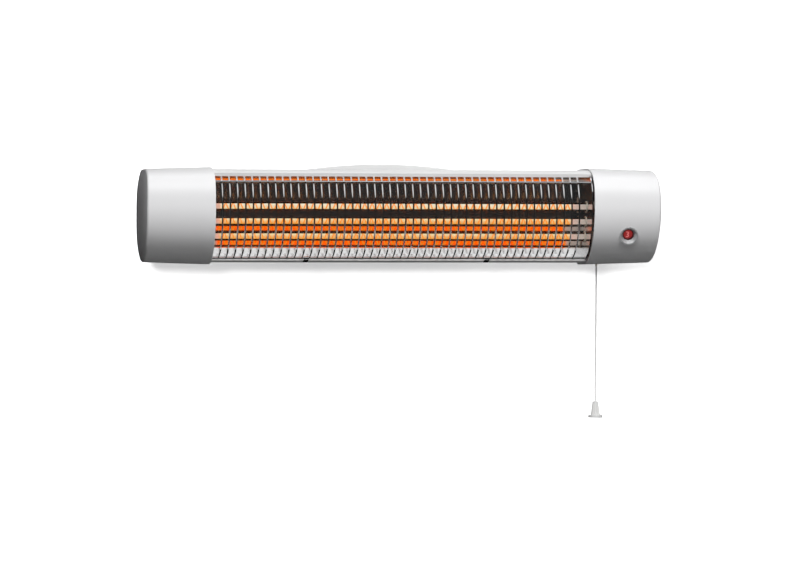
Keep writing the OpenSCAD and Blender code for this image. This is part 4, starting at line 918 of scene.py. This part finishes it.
def quartz_tube(name, node):
    """A glass tube along X with its bore marked."""
    low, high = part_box(node)
    centre = (low + high) / 2
    corners = [(low.x, TUBE_RADIUS), (high.x, TUBE_RADIUS), (high.x, TUBE_RADIUS - TUBE_WALL),
               (low.x, TUBE_RADIUS - TUBE_WALL)]
    points = [Vector((x, centre.y + r * math.cos(a), centre.z + r * math.sin(a)))
              for x, r in corners for a in round_angles(TUBE_SIDES)]
    faces = []
    for i in range(len(corners)):
        faces += belt(i * TUBE_SIDES, (i + 1) % len(corners) * TUBE_SIDES, TUBE_SIDES)
    mesh = mesh_from(name, points, faces)
    mesh.flip_normals()
    marks = mesh.attributes.new("bore", "FLOAT", "FACE")
    for face in mesh.polygons:
        marks.data[face.index].value = float(face.index // TUBE_SIDES == BORE_BELT)
    return new_object(name, mesh)


for tube in TUBES:
    glass = quartz_tube(tube + "_glass_tube", tube + "_quartz_tube")
    if tube == "upper":
        glass.data.materials.append(upper_quartz)
    fit_in(glass, tube + "_quartz_tube", crease_angle=40)

# %% [markdown]
# ## The heating coils
# Each coil is one wire wound about its tube's axis. The CAD model winds it coarsely. Here a spiral curve
# of even pitch, close to the wires' pitch as in the photo, is swept with the wire's thickness.

# %% Heating coils
COIL_TURNS = 48
COIL_RADIUS = 3.85 * MM
COIL_WIRE = 0.75 * MM
COIL_SIDES = 8
STEPS_PER_TURN = 24


def wind_coil(name, tube):
    """One glowing coil along a tube's axis."""
    centre = node_middle(tube + "_quartz_tube")
    tree, sizes = geometry_tree(name, {"Turns": "Float", "Length": "Float", "Radius": "Float",
                                       "Wire Radius": "Float"})
    spiral = add(tree, "GeometryNodeCurveSpiral", inputs={
        "Resolution": STEPS_PER_TURN, "Rotations": sizes["Turns"], "Start Radius": sizes["Radius"],
        "End Radius": sizes["Radius"], "Height": sizes["Length"]})
    swept = sweep_wire(tree, spiral, sizes["Wire Radius"], COIL_SIDES)
    start = centre - Vector((COIL_HALF_LENGTH, 0, 0))
    laid = add(tree, "GeometryNodeTransform", inputs={"Geometry": swept,
                                                      "Rotation": (0, math.pi / 2, 0),
                                                      "Translation": start})
    coil = grow(name, tree, finishes["glowing_wire"], laid, {
        "Turns": COIL_TURNS, "Length": 2 * COIL_HALF_LENGTH, "Radius": COIL_RADIUS, "Wire Radius": COIL_WIRE})
    fit_in(coil, tube + "_heating_coil", crease_angle=60)


for tube in TUBES:
    wind_coil(tube + "_wound_coil", tube)

# %% [markdown]
# ## The stage numbers
# The dial carries the numbers 0 to 3, a quarter turn apart, and the window shows the lowest one. Each
# number is a text object that is turned into a mesh, given a thin body, and then placed on the dial, so
# that it rides round with it.

# %% Numbers on the dial
NUMBER_HEIGHT = 7.5 * MM
DIAL_OFFSET = 9 * MM
NUMBER_RADIUS = 10.7 * MM
NUMBER_BODY = 0.15 * MM
FONT_SIZE = 1.35 * NUMBER_HEIGHT
DIAL_FRONT = 9.3 * MM
window_frame = Matrix.Translation(window_centre) @ Matrix.Rotation(WINDOW_LEAN, 4, "X")


def number_mesh(text, turn):
    """A flat number, stood up on the dial's face and turned about the dial's axis."""
    words = bpy.data.curves.new("number", "FONT")
    words.body = text
    words.size = FONT_SIZE
    words.extrude = NUMBER_BODY / 2
    words.align_x = "CENTER"
    words.align_y = "CENTER"
    letter = new_object("number", words)
    bpy.context.view_layer.update()
    mesh = bpy.data.meshes.new_from_object(letter.evaluated_get(bpy.context.evaluated_depsgraph_get()))
    bpy.data.objects.remove(letter)
    upright = Matrix.Rotation(math.pi / 2, 4, "X")
    mesh.transform(Matrix.Translation((0, 0, -NUMBER_RADIUS)) @ upright)
    mesh.transform(Matrix.Rotation(turn, 4, "Y"))
    mesh.transform(window_frame @ Matrix.Translation((0, DIAL_FRONT - NUMBER_BODY / 2, DIAL_OFFSET)))
    return mesh


for stage in range(4):
    quarter_turns = (3 - stage) % 4
    number = new_object("stage_number_" + str(stage), number_mesh(str(stage), quarter_turns * math.pi / 2))
    number.data.materials.append(numeral_print)
    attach(number, "dial")

# %% [markdown]
# ## Materials of the CAD pieces
# Every other piece keeps its exact CAD shape and gets its material through its slots.

# %% Dress the CAD nodes
for name, piece in nodes.items():
    if not piece.hide_render:
        for place in piece.material_slots:
            place.material = finishes[slot_of[name]]
print("CAD pieces dressed:", sum(not piece.hide_render for piece in nodes.values()))

# %% [markdown]
# ## Wall and floor
# The heater hangs on a pale wall over a pale strip of floor. Both show as white to the camera, and to the
# metal and glass that mirror them, but still take the heater's shadow. The wall is seen through from
# behind, so that the back of the heater can be looked at, and it throws no light of its own on it. One black
# card hangs on it behind the heater and another lies on the floor. Only reflections see them: they draw a
# grey edge round the lacquered caps and keep the wires dark below, as a photographer's cards do.

# %% Wall and floor
WALL_GAP = 1 * MM
FLOOR_Z = -0.75
FLOOR_DEPTH = 0.45
STAGE_HALF = 3.0
WALL_GLOW = 0.4


def pale_surface(name, share):
    """A pale plane that shows white, takes shadows, and is seen through from behind."""
    material, tree, point = blank_material(name)
    path = add(tree, "ShaderNodeLightPath").outputs
    seen = maths(tree, "MAXIMUM", path["Is Camera Ray"], path["Is Glossy Ray"])
    seen = maths(tree, "MAXIMUM", seen, path["Is Transmission Ray"])
    plaster = add(tree, "ShaderNodeBsdfDiffuse", inputs={
        "Color": tint(tree, speckle(tree, point, 300 * MM), "#F0F0F0", "#F6F6F6")})
    white = add(tree, "ShaderNodeEmission", inputs={"Strength": maths(tree, "MULTIPLY", seen, share)})
    front = add(tree, "ShaderNodeAddShader", inputs={0: plaster, 1: white})
    rear = add(tree, "ShaderNodeBsdfTransparent")
    side = add(tree, "ShaderNodeNewGeometry")
    return finish(material, blend(tree, side.outputs["Backfacing"], front, rear))


def plane(name, half_width, near, far, material):
    """A stage plane, by the Y and Z of two edges, that throws no shadow and no light on the heater."""
    corners = [(-half_width, *near), (half_width, *near), (half_width, *far), (-half_width, *far)]
    piece = new_object(name, mesh_from(name, corners, [(0, 1, 2, 3)]))
    piece.data.materials.append(material)
    piece.visible_shadow = False
    piece.visible_diffuse = False
    piece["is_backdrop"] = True
    return piece


pale = pale_surface("pale_plaster", WALL_GLOW)
wall = plane("wall", STAGE_HALF, (WALL_GAP, FLOOR_Z), (WALL_GAP, STAGE_HALF), pale)
floor = plane("floor", STAGE_HALF, (-FLOOR_DEPTH, FLOOR_Z), (WALL_GAP, FLOOR_Z), pale)

# %% Black cards
CARD_HALF_WIDTH = 0.8
CARD_HALF_HEIGHT = 0.5
CARD_GAP = 0.5 * MM


def black_paper(name):
    """Matt black paper with a faint mottle."""
    material, tree, point = blank_material(name)
    return finish(material, add(tree, "ShaderNodeBsdfDiffuse", inputs={
        "Color": tint(tree, speckle(tree, point, 5 * MM), "#0A0A0A", "#141414")}))


paper = black_paper("black_card_paper")
card_z = FLOOR_Z + CARD_GAP
card = plane("black_card", CARD_HALF_WIDTH, (CARD_GAP, -CARD_HALF_HEIGHT), (CARD_GAP, CARD_HALF_HEIGHT),
             paper)
low_card = plane("low_black_card", CARD_HALF_WIDTH, (-FLOOR_DEPTH, card_z), (WALL_GAP, card_z), paper)
for piece in (card, low_card):
    piece.visible_camera = False

# %% [markdown]
# ## Light
# One long softbox in front, 41 degrees up, shapes the caps: faces that look down fall into shade, as in the
# photo, and a weak lamp from below keeps them from going black. A lamp behind shows the back. Another
# shines on the wall and floor alone and draws the short shadow to the lower right. Round about it is dim,
# as if black cloths hung there, so the chromed wires are black where they mirror the room in front. What
# they mirror as light is a pale band, from 30 to 75 degrees up, and whatever lies behind the heater.

# %% Lamps
LIGHT_DISTANCE = 2.4
WALL_LIGHT = 2.2
heater_middle = Vector((0.1, -0.11, 0))


def lamp(name, kind, energy, azimuth, elevation, **settings):
    """A lamp turned to the heater, by its degrees to the right of the front and above the level."""
    a, e = math.radians(azimuth), math.radians(elevation)
    direction = Vector((math.sin(a) * math.cos(e), -math.cos(a) * math.cos(e), math.sin(e)))
    data = bpy.data.lights.new(name, kind)
    data.energy = energy
    for key, value in settings.items():
        setattr(data, key, value)
    piece = new_object(name, data)
    piece.location = heater_middle + LIGHT_DISTANCE * direction
    piece.rotation_euler = (-direction).to_track_quat("-Z", "Y").to_euler()
    return piece


def softbox(name, watts, azimuth, elevation, width, height):
    """A lamp with a wide face, which metal and glass don't mirror."""
    piece = lamp(name, "AREA", watts, azimuth, elevation, shape="RECTANGLE", size=width, size_y=height)
    piece.visible_glossy = False


softbox("long_softbox", 78, 1, 41.2, 2.44, 1.01)
softbox("low_lamp", 6.8, 8.6, -47.5, 1.0, 0.6)
softbox("rear_lamp", 40, 160, 25, 1.5, 1.0)
wall_lamp = lamp("wall_lamp", "SUN", WALL_LIGHT, -14.8, 5, angle=math.radians(6))
lit_by_it = bpy.data.collections.new("lit_by_wall_lamp")
for piece in (wall, floor):
    lit_by_it.objects.link(piece)
wall_lamp.light_linking.receiver_collection = lit_by_it

# %% World
AMBIENT = 0.068
ROOM_DARK = 0.035
BAND_FOOT = (0.48, 0.53)
BAND_TOP = (0.955, 0.985)
BAND_LIGHT = 1.3
BEHIND = (0.1, 0.6)

world = bpy.data.worlds.new("studio")
bpy.context.scene.world = world
world.use_nodes = True
tree = world.node_tree
tree.nodes.clear()
axes = add(tree, "ShaderNodeSeparateXYZ", inputs={0: add(tree, "ShaderNodeTexCoord").outputs["Generated"]})


def step(value, low, high, start=0.0, end=1.0):
    """A smooth step in the world's tree."""
    return add(tree, "ShaderNodeMapRange", {"interpolation_type": "SMOOTHSTEP"}, {
        "Value": value, "From Min": low, "From Max": high, "To Min": start, "To Max": end})


behind = step(axes.outputs["Y"], *BEHIND)
band = maths(tree, "MULTIPLY", step(axes.outputs["Z"], *BAND_FOOT, 0.0, BAND_LIGHT),
             step(axes.outputs["Z"], *BAND_TOP, 1.0, 0.0))
mirrored = maths(tree, "MAXIMUM", maths(tree, "MAXIMUM", band, behind), ROOM_DARK)
path = add(tree, "ShaderNodeLightPath").outputs
indirect = mapped(tree, path["Is Glossy Ray"], 0.0, 1.0, AMBIENT, mirrored)
seen = maths(tree, "MAXIMUM", path["Is Camera Ray"], path["Is Transmission Ray"])
sky = add(tree, "ShaderNodeBackground", inputs={"Strength": mapped(tree, seen, 0.0, 1.0, indirect, 1.0)})
add(tree, "ShaderNodeOutputWorld", inputs={"Surface": sky})
bpy.context.scene.view_settings.view_transform = "Standard"

# %% Sizes of the CAD box and the visual box, and the end
low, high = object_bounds()
sizes = {"cad": [list(cad_low), list(cad_high)], "visual": [list(low), list(high)]}
print("Visual box in mm:", [round(v / MM, 1) for v in (high - low)])
